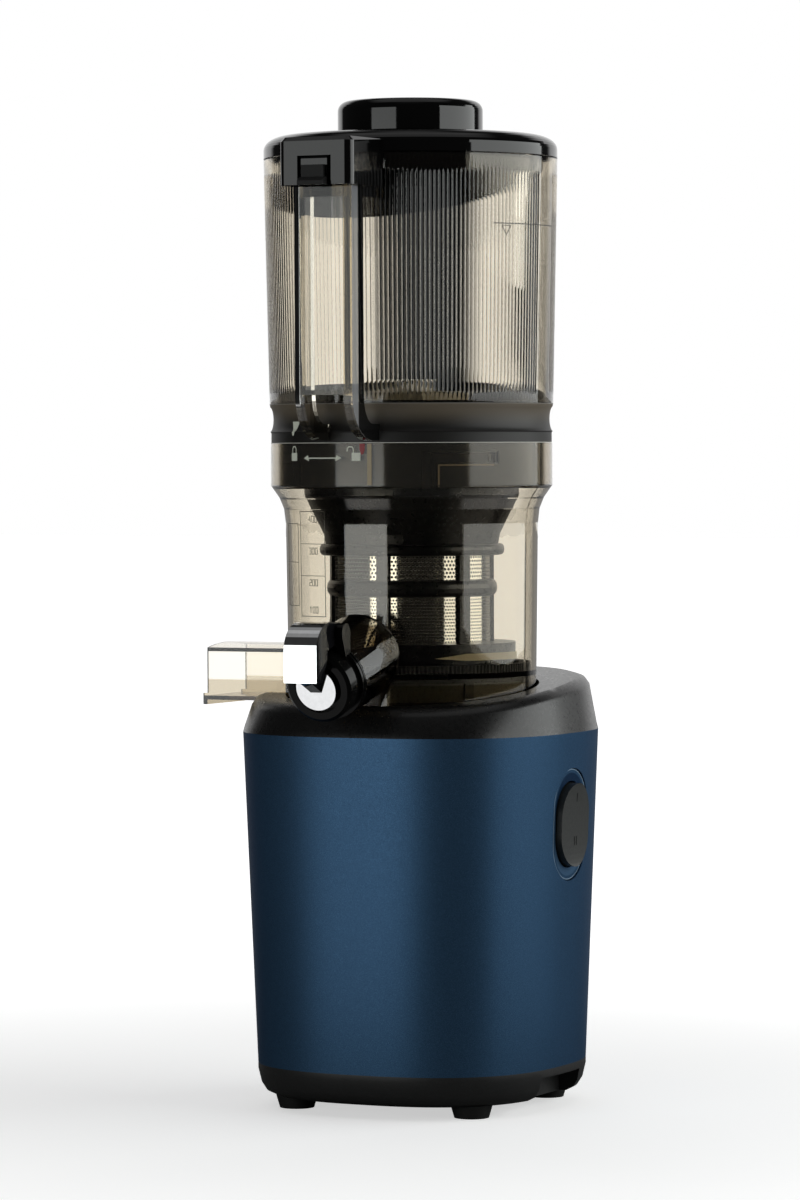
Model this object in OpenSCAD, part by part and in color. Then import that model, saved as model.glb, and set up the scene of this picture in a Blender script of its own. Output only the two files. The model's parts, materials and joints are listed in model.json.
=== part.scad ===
// Upright cold press juicer with a wide hopper. The hopper turns and locks on a clear juicing bowl,
// and the bowl lifts off a motor base. The drive axis is vertical, the front is -Y, Z = 0 is the worktop.

/* [Base] */
// Half of the base's width, where the shell meets the cover
base_half = 84; // [80:0.5:90]
// How much narrower each side of the base is at the bottom of the shell
base_taper = 6.4; // [0:0.2:12]
// Squareness of the base's outline, where 2 is a circle
squareness = 2.6; // [2.3:0.1:3.4]
// How far the middle of the base lies behind the drive axis
base_back = 10; // [7:0.5:13]
// Height of the painted shell
shell_h = 165.5; // [158:0.5:190]
// Height of the bottom pan
pan_h = 15.5; // [13:0.5:20]
// Height of the feet under the pan
foot_h = 6.5; // [4:0.5:12]
// Height of the bowl's seat over the shell
seat_rise = 13.2; // [11:0.2:17]
// Height of the cover's top over the seat, at the drive axis
seat_depth = 8; // [7:0.2:11]
// Slope of the cover's top towards the front, in degrees
cover_slope = 5.7; // [3:0.1:7]
// Wall of the base's mouldings
base_wall = 3; // [2.4:0.1:3.6]

/* [Motor and gears] */
// Outer radius of the motor's stator
stator_r = 40; // [34:0.5:44]
// Height of the stator's stack
stator_h = 46; // [36:1:54]
// Radius of the motor's rotor
rotor_r = 21; // [17:0.5:24]
// Module of the gears
gear_module = 1; // [0.9:0.05:1.05]
// Teeth of both pinions
pinion_teeth = 12; // [11:1:14]
// Teeth of both large wheels
wheel_teeth = 60; // [56:1:62]
// Distance across the flats of the drive shaft
hex_flats = 12; // [10:0.5:14]

/* [Bowl] */
// Outer radius of the bowl at its foot
bowl_r = 61.8; // [60:0.2:63]
// How much wider the bowl is below its flare than at its foot
bowl_draft = 1.2; // [0.6:0.1:2]
// How far the bowl's collar stands out past the foot
collar_reach = 8.5; // [7.8:0.1:10]
// Height of the bowl's collar
collar_h = 21.6; // [18:0.2:26]
// Height of the juicing chamber, from its floor to the collar
chamber_h = 91.4; // [84:0.2:110]
// Height of the skirt under the chamber's floor
skirt_h = 14.5; // [13:0.5:18]
// Wall of the bowl
bowl_wall = 2.4; // [2:0.1:3]

/* [Juice spout] */
// Outer radius of the spout's tube
spout_r = 19; // [16:0.5:20]
// Slope of the spout, in degrees
spout_slope = 16; // [10:1:20]
// How far the spout's ring stands in front of the base
spout_overhang = 31; // [26:0.5:44]
// Width of the spout's lever
lever_w = 17.5; // [14:0.5:21]
// How far the spout's lever opens, in degrees
lever_opens = 85; // [60:5:90]

/* [Pulp chute] */
// Width of the pulp chute
chute_w = 44; // [36:1:46]
// Height of the pulp chute, without its crown
chute_h = 26.4; // [22:0.2:30]
// How far the pulp chute stands out past the base
chute_overhang = 20.5; // [14:0.5:34]

/* [Strainer and auger] */
// Room between the strainer's windows and the bowl
strainer_room = 20.8; // [18:0.2:24]
// Ribs round the strainer
strainer_ribs = 6; // [5:1:8]
// Clearance between the auger's flight and the screen
flight_gap = 0.9; // [0.6:0.1:1.4]
// Rise of the auger's flight in one turn
flight_pitch = 30; // [24:1:36]
// Thickness of the auger's flight
flight_t = 3.4; // [2.6:0.1:4.4]

/* [Hopper] */
// How much wider the hopper is at its rim than above its waist
hopper_draft = 2.5; // [1.6:0.1:4]
// How far the hopper stands out past the bowl's collar, above its waist
hopper_proud = 0.5; // [0.2:0.1:2]
// Height of the clear hopper, from its waist to its rim
hopper_h = 121.5; // [105:0.5:150]
// Height of the hopper's waist
waist_h = 19.5; // [17:0.5:24]
// Wall of the hopper
hopper_wall = 2.4; // [2:0.1:2.8]
// How far the hopper turns from locked to free, in degrees
hopper_turns = 29; // [20:1:40]
// How far the front of the handle stands out past the hopper's rim
handle_stand = 23.7; // [22:0.1:28]

/* [Lid] */
// Height of the lid
lid_h = 12.6; // [11:0.2:16]
// Radius of the lid's knob
knob_r = 36.2; // [30:0.2:44]
// Height of the lid's knob
knob_h = 16; // [12:0.5:22]
// How far the lid opens, in degrees
lid_opens = 100; // [70:5:110]

/* [Hidden] */

// Shared clearances and overruns
rest_gap = 0.3;
run_gap = 0.05;
slip_gap = 0.2;
over = 1;
facet = 96;

// Radii of the bowl, the strainer and the hopper, from the bowl's foot up
bowl_neck_r = bowl_r + bowl_draft;
collar_r = bowl_r + collar_reach;
strainer_r = bowl_r - strainer_room;
hopper_low_r = collar_r + hopper_proud;
hopper_r = hopper_low_r + hopper_draft;
handle_reach = hopper_r + handle_stand;

// Heights and width of the base
base_half_low = base_half - base_taper;
pan_z = foot_h;
shell_z = pan_z + pan_h;
cover_z = shell_z + shell_h;
seat_z = cover_z + seat_rise;
cover_top_z = seat_z + seat_depth;
slope = tan(cover_slope);

// Heights of the bowl, the hopper and the lid
floor_t = 2.5;
bowl_z = seat_z + rest_gap;
floor_z = bowl_z + skirt_h;
chamber_z = floor_z + floor_t;
collar_z = chamber_z + chamber_h;
collar_top = collar_z + collar_h;
hopper_z = collar_top + rest_gap;
waist_z = hopper_z + waist_h;
rim_z = waist_z + hopper_h;
lid_z = rim_z + rest_gap;
knob_z = lid_z + lid_h;

// Outline of the base: rings of a square with rounded corners
ring_n = 96;
function base_reach(a) =
    pow(pow(abs(cos(a)), squareness) + pow(abs(sin(a)), squareness), -1 / squareness);
function base_ring(half, z, rise = 0) = [
    for (i = [0 : ring_n - 1])
        let (a = 360 * i / ring_n, r = half * base_reach(a), y = base_back + r * sin(a))
        [r * cos(a), y, z + rise * y]
];
function base_half_at(z) = base_half_low + (base_half - base_half_low) * (z - shell_z) / shell_h;

// Place of the drive axis, so that the whole machine is centred over the frame's origin
rocker_proud = 3.6;
switch_share = 0.725;
switch_z = shell_z + shell_h * switch_share;
lever_ahead = 18.5;
lip_reach = 2.4;
spout_front = base_half - base_back + spout_overhang;
reach_front = spout_front + lever_ahead;
reach_back = base_back + base_half;
reach_left = base_half + chute_overhang + lip_reach;
reach_right = base_half_at(switch_z) + rocker_proud;
axis_x = (reach_left - reach_right) / 2;
axis_y = (reach_front - reach_back) / 2;
module in_place() {
    translate([axis_x, axis_y, 0]) children();
}

// A solid through a stack of rings, and a sleeve through rings that close on the first one
function side_faces(n, from, to) = [
    for (i = [0 : n - 1])
        let (a = from * n + i, b = from * n + (i + 1) % n, c = to * n + i, d = to * n + (i + 1) % n)
        each [[a, c, d], [a, d, b]]
];
module stack(rings) {
    n = len(rings[0]);
    m = len(rings);
    polyhedron(
        points = [for (r = rings) each r],
        faces = concat(
            [[for (i = [0 : n - 1]) i]],
            [[for (i = [n - 1 : -1 : 0]) (m - 1) * n + i]],
            [for (j = [0 : m - 2]) each side_faces(n, j, j + 1)]
        )
    );
}
module sleeve(rings) {
    n = len(rings[0]);
    m = len(rings);
    polyhedron(
        points = [for (r = rings) each r],
        faces = [for (j = [0 : m - 1]) each side_faces(n, j, (j + 1) % m)]
    );
}

// Plane shapes
module ring_2d(outer, inner) {
    difference() {
        circle(outer, $fn = facet);
        circle(inner, $fn = facet);
    }
}
module ring_solid(outer, inner, h) {
    linear_extrude(h) ring_2d(outer, inner);
}
module stadium(r, straight) {
    for (side = [-1, 1])
        translate([0, side * straight / 2]) circle(r, $fn = facet);
    square([2 * r, straight], center = true);
}
module revolve(points) {
    rotate_extrude($fn = facet) polygon(points);
}
function arc(centre, rx, ry, from, to, steps) = [
    for (i = [0 : steps])
        let (a = from + (to - from) * i / steps)
        [centre[0] + rx * cos(a), centre[1] + ry * sin(a)]
];

// Base shell, with bosses in its corners for the pan's screws
foot_share = 0.62;
foot_deep_share = 0.577;
boss_r = 5;
boss_h = 28;
corner_r = (base_half_low - base_wall / 2) * pow(2, 0.5 - 1 / squareness);
web_l = corner_r - base_half_low * (foot_share + foot_deep_share) / sqrt(2);
screw_r = 1.75;
screw_bite = 14;
switch_r = 20;
switch_straight = 16;
switch_tilt = atan((base_half - base_half_low) / shell_h);
gland_r = 9;
gland_rise = 20;
foot_x = base_half_low * foot_share;
foot_y = base_half_low * foot_deep_share;
module at_corners() {
    for (sx = [-1, 1], sy = [-1, 1])
        translate([sx * foot_x, base_back + sy * foot_y, 0]) children();
}
module at_switch() {
    translate([base_half_at(switch_z), base_back, switch_z])
        rotate([0, 90 + switch_tilt, 0]) rotate([0, 0, 90]) children();
}
module at_gland() {
    translate([0, base_back + base_half_at(shell_z + gland_rise), shell_z + gland_rise])
        rotate([-90, 0, 0]) children();
}
module base_shell() {
    inner_low = base_half_low - base_wall;
    inner_top = base_half - base_wall;
    color([0.13, 0.22, 0.34]) in_place() difference() {
        union() {
            sleeve([
                base_ring(base_half_low, shell_z),
                base_ring(base_half, cover_z),
                base_ring(inner_top, cover_z),
                base_ring(inner_low, shell_z)
            ]);
            translate([0, 0, shell_z]) at_corners() cylinder(r = boss_r, h = boss_h, $fn = facet);
            for (sx = [-1, 1], sy = [-1, 1])
                translate([sx * foot_x, base_back + sy * foot_y, shell_z + lip_h + rest_gap])
                    rotate([0, 0, atan2(sy, sx)]) translate([0, -base_wall / 2, 0])
                        cube([web_l, base_wall, boss_h - lip_h - rest_gap]);
        }
        translate([0, 0, shell_z - over]) at_corners()
            cylinder(r = screw_r, h = screw_bite + over, $fn = facet);
        at_switch() translate([0, 0, -2 * base_wall]) linear_extrude(4 * base_wall)
            stadium(switch_r, switch_straight);
        at_gland() translate([0, 0, -2 * base_wall]) cylinder(r = gland_r, h = 4 * base_wall, $fn = facet);
    }
}

// Top cover: sloping top, level seat for the bowl, and a channel for the pulp chute
cover_inset = 7;
cover_round = 3;
lip_h = 4;
lip_t = 2;
seat_gap = 1.6;
seat_r = bowl_r + seat_gap;
channel_drop = 4;
channel_w = chute_w + 2 * seat_gap;
seal_r = 14;
mount_r = 7;
mount_x_share = 0.595;
mount_low_share = -0.548;
mount_high_share = 0.667;
mount_x = base_half * mount_x_share;
mount_low_y = base_back + base_half * mount_low_share;
mount_high_y = base_back + base_half * mount_high_share;
gear_drop = 36;
gear_lid_t = 4;
mount_h = 8;
gear_lid_z = seat_z - gear_drop;
mount_z = gear_lid_z + gear_lid_t;
ceiling_z = seat_z - base_wall;
module at_mounts() {
    for (x = [-mount_x, mount_x], y = [mount_low_y, mount_high_y])
        translate([x, y, 0]) children();
}
module top_cover() {
    top_half = base_half - cover_inset;
    inner_half = base_half - base_wall - slip_gap;
    color([0.13, 0.13, 0.14]) in_place() {
        difference() {
            stack([
                base_ring(inner_half, cover_z - lip_h),
                base_ring(inner_half, cover_z),
                base_ring(base_half, cover_z),
                base_ring(base_half - cover_round / 4, cover_z + cover_round),
                base_ring(top_half + cover_round, cover_top_z - 1.5 * cover_round, slope),
                base_ring(top_half + cover_round / 3, cover_top_z - cover_round / 2, slope),
                base_ring(top_half - cover_round, cover_top_z, slope)
            ]);
            stack([
                base_ring(inner_half - lip_t, cover_z - lip_h - over),
                base_ring(inner_half - lip_t, cover_z),
                base_ring(top_half - cover_round, ceiling_z)
            ]);
            translate([0, 0, seat_z]) cylinder(r = seat_r, h = base_half, $fn = facet);
            translate([-base_half - over, -channel_w / 2, seat_z - channel_drop])
                cube([base_half + over - seat_r + channel_drop, channel_w, base_half]);
            translate([0, 0, ceiling_z - over]) cylinder(r = seal_r, h = base_wall + 2 * over, $fn = facet);
        }
        translate([0, 0, mount_z + mount_h]) at_mounts()
            cylinder(r = mount_r, h = ceiling_z - mount_z - mount_h, $fn = facet);
        translate([-base_half + cover_inset, -channel_w / 2 - base_wall, seat_z - channel_drop - base_wall])
            cube([base_half - cover_inset - seat_r + channel_drop, channel_w + 2 * base_wall, base_wall]);
    }
}

// Bottom pan: a tray with a rounded rim, a lifting grip on each side, and posts for the control board
grip_w = 46;
grip_rim = 4;
grip_roof = 2;
grip_h = pan_h - grip_rim;
grip_y = base_back - grip_w / 2 - base_wall;
grip_depth = 13;
pan_round = 7.6;
screw_head_r = 3.6;
screw_head_h = 2.4;
post_r = 3.5;
board_w = 64;
board_d = 40;
board_t = 1.6;
board_share = 0.541;
board_y = base_back + base_half_low * board_share;
board_inset = 5;
post_h = 6;
tray_t = 3;
tray_top = pan_z + tray_t;
board_z = tray_top + post_h;
vent_n = 7;
vent_w = 3;
vent_l = 34;
vent_step = 7;
vent_y = 8;
module at_posts() {
    for (sx = [-1, 1], sy = [-1, 1])
        translate([sx * (board_w / 2 - board_inset), board_y + sy * (board_d / 2 - board_inset), 0])
            children();
}
module bottom_pan() {
    outer = base_half_low;
    rim = base_half_low - base_wall - slip_gap;
    grip_x = base_half_low - grip_depth;
    block = grip_depth - pan_round / 2;
    block_z = pan_z + base_wall / 2;
    color([0.12, 0.12, 0.12]) in_place() difference() {
        union() {
            stack([
                base_ring(outer - pan_round, pan_z),
                base_ring(outer - pan_round / 2, pan_z + pan_round / 4),
                base_ring(outer - pan_round / 5, pan_z + pan_round * 3 / 4),
                base_ring(outer, shell_z - base_wall),
                base_ring(outer, shell_z),
                base_ring(rim, shell_z),
                base_ring(rim, shell_z + lip_h),
                base_ring(rim - lip_t, shell_z + lip_h),
                base_ring(rim - lip_t, tray_top + pan_round),
                base_ring(rim - lip_t - pan_round / 2, tray_top)
            ]);
            for (side = [-1, 1])
                translate([side * (grip_x - base_wall) - (1 - side) * block / 2, grip_y, block_z])
                    cube([block, grip_w + 2 * base_wall, grip_h + grip_roof - base_wall / 2]);
            translate([0, 0, tray_top - over]) at_posts()
                cylinder(r = post_r, h = post_h + over, $fn = facet);
            translate([0, 0, tray_top - over]) at_corners()
                cylinder(r = boss_r, h = shell_z - tray_top + over, $fn = facet);
        }
        for (side = [-1, 1])
            translate([side * grip_x - (1 - side) * grip_depth, grip_y + base_wall, pan_z - over])
                cube([2 * grip_depth, grip_w, grip_h + over]);
        translate([0, 0, pan_z - over]) at_corners() {
            cylinder(r = screw_r + slip_gap, h = pan_h + 2 * over, $fn = facet);
            cylinder(r = screw_head_r + slip_gap, h = screw_head_h + slip_gap + over, $fn = facet);
        }
        for (i = [0 : vent_n - 1])
            translate([(i - (vent_n - 1) / 2) * vent_step - vent_w / 2, vent_y - vent_l, pan_z - over])
                cube([vent_w, vent_l, tray_t + 2 * over]);
    }
}

// Four rubber feet, each with a shallow recess in its sole
foot_r = 10.5;
foot_sole_r = 8.6;
sole_dip = 0.8;
sole_rim = 2;
module rubber_feet() {
    color([0.07, 0.07, 0.07]) in_place() at_corners() revolve([
        [foot_sole_r - sole_rim, 0], [foot_sole_r, 0], [foot_r, foot_h], [0, foot_h],
        [0, sole_dip], [foot_sole_r - sole_rim - sole_dip, sole_dip]
    ]);
}

// Screws that hold the pan to the shell's bosses
module pan_screws() {
    color([0.6, 0.6, 0.62]) in_place() translate([0, 0, pan_z]) at_corners() {
        cylinder(r = screw_head_r, h = screw_head_h, $fn = facet);
        cylinder(r = screw_r, h = pan_h + screw_bite - over, $fn = facet);
    }
}

// Switch: a dished bezel in the shell's side, a saddle-shaped rocker and the switch behind it
bezel_t = 5;
bezel_dip = 1;
rocker_r = 16.2;
rocker_straight = 9;
rocker_gap = 0.9;
rocker_back = 4;
rocker_saddle = 1.5;
rocker_pin_r = 1.5;
rocker_pin_l = 2;
rocker_axis = 5;
rocker_tilt = 8;
switch_body_w = 26;
switch_body_h = 30;
switch_body_t = 16;
switch_body_gap = 3.2;
module switch_bezel() {
    opening_r = rocker_r + rocker_gap;
    color([0.13, 0.22, 0.34]) in_place() at_switch() translate([0, 0, -bezel_dip]) difference() {
        translate([0, 0, -bezel_t]) linear_extrude(bezel_t)
            stadium(switch_r - slip_gap, switch_straight);
        translate([0, 0, -bezel_t - over]) linear_extrude(bezel_t + 2 * over)
            stadium(opening_r, rocker_straight);
        translate([0, 0, bezel_dip - rocker_axis]) rotate([0, 90, 0])
            cylinder(r = rocker_pin_r + run_gap, h = 2 * (rocker_r + rocker_pin_l + rocker_gap),
                center = true, $fn = facet);
    }
}
module switch_rocker() {
    top = rocker_r + rocker_straight / 2;
    color([0.16, 0.17, 0.17]) in_place() at_switch() {
        intersection() {
            translate([0, 0, -rocker_axis - rocker_back])
                linear_extrude(rocker_axis + rocker_back + 2 * rocker_proud)
                stadium(rocker_r, rocker_straight);
            rotate([90, 0, 90]) linear_extrude(2 * top, center = true) polygon(concat(
                arc([0, rocker_proud], top, rocker_saddle, 180, 360, 16),
                [[top, -rocker_axis], [0, -rocker_axis - rocker_back], [-top, -rocker_axis]]
            ));
        }
        translate([0, 0, -rocker_axis]) rotate([0, 90, 0])
            cylinder(r = rocker_pin_r, h = 2 * (rocker_r + rocker_pin_l), center = true, $fn = facet);
    }
}
module switch_body() {
    face = -rocker_axis - rocker_back - switch_body_gap;
    arm = rocker_r + rocker_gap + over;
    color([0.1, 0.1, 0.1]) in_place() at_switch() {
        translate([-switch_body_w / 2, -switch_body_h / 2, face - switch_body_t])
            cube([switch_body_w, switch_body_h, switch_body_t]);
        for (side = [-1, 1]) difference() {
            translate([side * arm - over, -rocker_straight, face - over])
                cube([2 * over, 2 * rocker_straight, -face - bezel_t - bezel_dip + over]);
            translate([side * arm, 0, -rocker_axis]) rotate([0, 90, 0])
                cylinder(r = rocker_pin_r + rest_gap, h = 4 * over, center = true, $fn = facet);
        }
        translate([-arm - over, -rocker_straight, face - 2 * over])
            cube([2 * arm + 2 * over, 2 * rocker_straight, 2 * over]);
    }
}

// Cord gland in the back of the shell
gland_flange_r = 11;
gland_bore_r = 3.6;
gland_flange_t = 2;
gland_stand = 0.8;
gland_l = 12;
module cord_gland() {
    color([0.06, 0.06, 0.06]) in_place() at_gland() difference() {
        union() {
            translate([0, 0, gland_stand]) cylinder(r = gland_flange_r, h = gland_flange_t, $fn = facet);
            translate([0, 0, gland_flange_t - gland_l])
                cylinder(r = gland_r - slip_gap, h = gland_l, $fn = facet);
        }
        translate([0, 0, -gland_l]) cylinder(r = gland_bore_r, h = 2 * gland_l, $fn = facet);
    }
}

// Gear train: two stages of spur gears, so that the output turns on the motor's own axis
pitch_share = 0.5;
tooth_root_share = 0.56;
tooth_tip_share = 0.26;
addendum = 0.9 * gear_module;
dedendum = 1.2 * gear_module;
centre_d = gear_module * (pinion_teeth + wheel_teeth) * pitch_share;
lid_hub_h = 10;
case_floor = 4;
case_wall = 3;
gear_room = 3;
stage_w = 10;
stage_gap = 2;
case_h = case_floor + 2 * stage_w + 4 * stage_gap;
case_z = gear_lid_z - case_h;
stage1_z = case_z + case_floor + stage_gap;
stage2_z = stage1_z + stage_w + stage_gap;
wheel_r = gear_module * wheel_teeth * pitch_share + addendum;
case_r = wheel_r + gear_room + case_wall;
motor_shaft_r = 4;
pin_r = 3;
output_r = 8;
bearing_r = 11;
bearing_h = 7;
bolt_r = 2;
bolt_circle = stator_r + bolt_r + slip_gap;
ear_r = 6;
bracket_t = 4;
winding_h = 10;
stator_top = case_z - winding_h - stage_gap;
stator_z = stator_top - stator_h;
bracket_z = stator_z - winding_h - stage_gap - bracket_t;
function gear_points(teeth, phase) = [
    for (k = [0 : teeth - 1])
        let (
            pitch = 360 / teeth,
            middle = phase + k * pitch,
            r = gear_module * teeth * pitch_share,
            root = pitch * tooth_root_share / 2,
            tip = pitch * tooth_tip_share / 2
        )
        each [
            [(r - dedendum) * cos(middle - root), (r - dedendum) * sin(middle - root)],
            [(r + addendum) * cos(middle - tip), (r + addendum) * sin(middle - tip)],
            [(r + addendum) * cos(middle + tip), (r + addendum) * sin(middle + tip)],
            [(r - dedendum) * cos(middle + root), (r - dedendum) * sin(middle + root)]
        ]
];
module gear(teeth, h, phase) {
    linear_extrude(h) polygon(gear_points(teeth, phase));
}
module at_bolts() {
    for (a = [45 : 90 : 315])
        rotate([0, 0, a]) translate([bolt_circle, 0, 0]) children();
}
module gear_outline(r) {
    circle(r, $fn = facet);
    translate([0, centre_d]) circle(r, $fn = facet);
    translate([-r, 0]) square([2 * r, centre_d]);
}
module gearbox_case() {
    color([0.72, 0.73, 0.74]) in_place() difference() {
        union() {
            translate([0, 0, case_z]) linear_extrude(gear_lid_z - case_z) gear_outline(case_r);
            translate([0, 0, case_z]) at_bolts() cylinder(r = ear_r, h = case_floor, $fn = facet);
        }
        translate([0, 0, case_z + case_floor]) linear_extrude(gear_lid_z) gear_outline(case_r - case_wall);
        translate([0, 0, case_z - over])
            cylinder(r = bearing_r + run_gap, h = case_floor + 2 * over, $fn = facet);
        translate([0, centre_d, case_z - over])
            cylinder(r = pin_r, h = case_floor + 2 * over, $fn = facet);
        translate([0, 0, case_z - over]) at_bolts()
            cylinder(r = bolt_r, h = case_floor + 2 * over, $fn = facet);
    }
}
module gearbox_lid() {
    color([0.72, 0.73, 0.74]) in_place() translate([0, 0, gear_lid_z]) difference() {
        union() {
            linear_extrude(gear_lid_t) {
                gear_outline(case_r);
                for (y = [mount_low_y, mount_high_y]) {
                    for (x = [-mount_x, mount_x])
                        translate([x, y]) circle(mount_r + over, $fn = facet);
                    translate([-mount_x, y - mount_r]) square([2 * mount_x, 2 * mount_r]);
                }
                translate([-mount_r, mount_low_y]) square([2 * mount_r, mount_high_y - mount_low_y]);
            }
            cylinder(r = output_r + case_wall + case_floor, h = lid_hub_h + gear_lid_t, $fn = facet);
        }
        translate([0, 0, -over])
            cylinder(r = output_r + case_wall, h = lid_hub_h + gear_lid_t + 2 * over, $fn = facet);
        translate([0, centre_d, -over]) cylinder(r = pin_r, h = gear_lid_t + 2 * over, $fn = facet);
    }
}
module gearbox_mounts() {
    color([0.08, 0.08, 0.08]) in_place() translate([0, 0, mount_z]) at_mounts()
        ring_solid(mount_r - slip_gap, screw_r, mount_h);
}
module output_bearing() {
    color([0.75, 0.6, 0.3]) in_place() translate([0, 0, gear_lid_z])
        ring_solid(output_r + case_wall, output_r + run_gap, gear_lid_t + lid_hub_h);
}
yoke = 8;
module motor_stator() {
    slots = 12;
    slot_w = 5;
    tooth_gap = 0.6;
    color([0.55, 0.56, 0.58]) in_place() translate([0, 0, stator_z]) linear_extrude(stator_h) difference() {
        circle(stator_r, $fn = facet);
        circle(rotor_r + tooth_gap, $fn = facet);
        for (i = [0 : slots - 1])
            rotate(i * 360 / slots) translate([rotor_r, -slot_w / 2])
                square([stator_r - yoke - rotor_r, slot_w]);
    }
}
module motor_windings() {
    clear = 4;
    wound_share = 0.52;
    color([0.72, 0.4, 0.18]) in_place()
        for (z = [stator_z - winding_h, stator_top])
            translate([0, 0, z]) rotate_extrude($fn = facet)
                translate([(stator_r - yoke + rotor_r + clear) / 2, winding_h / 2])
                    intersection() {
                        circle(winding_h * wound_share, $fn = facet);
                        square([winding_h, winding_h], center = true);
                    }
}
module motor_bracket() {
    arm_w = 10;
    hub_r = bearing_r + case_wall;
    color([0.7, 0.7, 0.72]) in_place() translate([0, 0, bracket_z]) difference() {
        union() {
            cylinder(r = hub_r, h = bearing_h, $fn = facet);
            for (a = [45, 135]) rotate([0, 0, a])
                translate([-bolt_circle, -arm_w / 2, 0]) cube([2 * bolt_circle, arm_w, bracket_t]);
            at_bolts() cylinder(r = ear_r, h = bracket_t, $fn = facet);
        }
        translate([0, 0, -over]) cylinder(r = bearing_r, h = bearing_h + 2 * over, $fn = facet);
        translate([0, 0, -over]) at_bolts() cylinder(r = bolt_r, h = bearing_h + over, $fn = facet);
    }
}
module motor_bolts() {
    head_h = 2.5;
    head_r = 3.8;
    color([0.6, 0.6, 0.62]) in_place() at_bolts() {
        translate([0, 0, bracket_z])
            cylinder(r = bolt_r, h = case_z + case_floor - bracket_z, $fn = facet);
        translate([0, 0, bracket_z - head_h]) cylinder(r = head_r, h = head_h, $fn = facet);
    }
}
module motor_bearings() {
    color([0.8, 0.8, 0.82]) in_place()
        for (z = [bracket_z, case_z - bearing_h + case_floor])
            translate([0, 0, z]) ring_solid(bearing_r, motor_shaft_r + run_gap, bearing_h);
}
fan_h = 12;
fan_gap = 3;
fan_z = bracket_z - fan_gap - fan_h;
module motor_rotor() {
    color([0.5, 0.5, 0.52]) in_place() {
        translate([0, 0, stator_z]) cylinder(r = rotor_r, h = stator_h, $fn = facet);
        translate([0, 0, fan_z]) cylinder(r = motor_shaft_r, h = stage1_z - fan_z + over, $fn = facet);
        translate([0, 0, stage1_z]) gear(pinion_teeth, stage_w, 0);
    }
}
module motor_fan() {
    hub_r = motor_shaft_r + case_wall;
    vane_t = 1.6;
    vanes = 9;
    fan_r = stator_r - case_wall;
    color([0.9, 0.9, 0.88]) in_place() translate([0, 0, fan_z]) difference() {
        union() {
            cylinder(r = hub_r, h = fan_h, $fn = facet);
            cylinder(r = fan_r, h = vane_t, $fn = facet);
            for (i = [0 : vanes - 1])
                rotate([0, 0, i * 360 / vanes]) translate([hub_r - over, -vane_t / 2, vane_t / 2])
                    cube([fan_r - hub_r - over, vane_t, fan_h - vane_t]);
        }
        translate([0, 0, -over]) cylinder(r = motor_shaft_r, h = fan_h + 2 * over, $fn = facet);
    }
}
module layshaft_pin() {
    color([0.78, 0.78, 0.8]) in_place() translate([0, centre_d, case_z])
        cylinder(r = pin_r, h = gear_lid_z + gear_lid_t - case_z, $fn = facet);
}
module layshaft_gear() {
    pinion_l = stage_w + 2 * stage_gap;
    color([0.86, 0.84, 0.76]) in_place() translate([0, centre_d, stage1_z]) difference() {
        union() {
            gear(wheel_teeth, stage_w, -90 + 180 / wheel_teeth);
            gear(pinion_teeth, stage_w + pinion_l, -90);
        }
        translate([0, 0, -over])
            cylinder(r = pin_r + run_gap, h = stage_w + pinion_l + 2 * over, $fn = facet);
    }
}
module output_gear() {
    color([0.86, 0.84, 0.76]) in_place() translate([0, 0, stage2_z]) difference() {
        gear(wheel_teeth, stage_w, 90 + 180 / wheel_teeth);
        translate([0, 0, -over])
            cylinder(r = hex_flats / sqrt(3), h = stage_w + 2 * over, $fn = 6);
    }
}

// Hexagonal drive shaft with a round journal, and its seal in the cover
socket_l = 24;
hub_drop = 3;
hex_top = chamber_z + socket_l - hub_drop - over;
module drive_shaft() {
    journal_z = gear_lid_z - stage_gap;
    color([0.78, 0.78, 0.8]) in_place() {
        translate([0, 0, stage2_z])
            cylinder(r = hex_flats / sqrt(3), h = hex_top - stage2_z, $fn = 6);
        translate([0, 0, journal_z]) cylinder(r = output_r, h = seat_z - journal_z, $fn = facet);
    }
}
module shaft_seal() {
    seal_lip = 1.5;
    color([0.1, 0.1, 0.1]) in_place() translate([0, 0, ceiling_z])
        ring_solid(seal_r - slip_gap, output_r + run_gap, base_wall + seal_lip);
}

// Control board on the pan's posts
module control_board() {
    relay_w = 16;
    relay_d = 12;
    relay_h = 14;
    coil_r = 8;
    coil_h = 14;
    can_r = 5;
    can_h = 20;
    color([0.1, 0.35, 0.18]) in_place() translate([0, board_y, board_z]) {
        translate([-board_w / 2, -board_d / 2, 0]) cube([board_w, board_d, board_t]);
        translate([-board_w / 2 + board_inset, -board_inset, board_t])
            cube([relay_w, relay_d, relay_h]);
        translate([board_inset, 0, board_t]) cylinder(r = coil_r, h = coil_h, $fn = facet);
        translate([board_w / 2 - 2 * board_inset, 0, board_t])
            cylinder(r = can_r, h = can_h, $fn = facet);
    }
}

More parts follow.
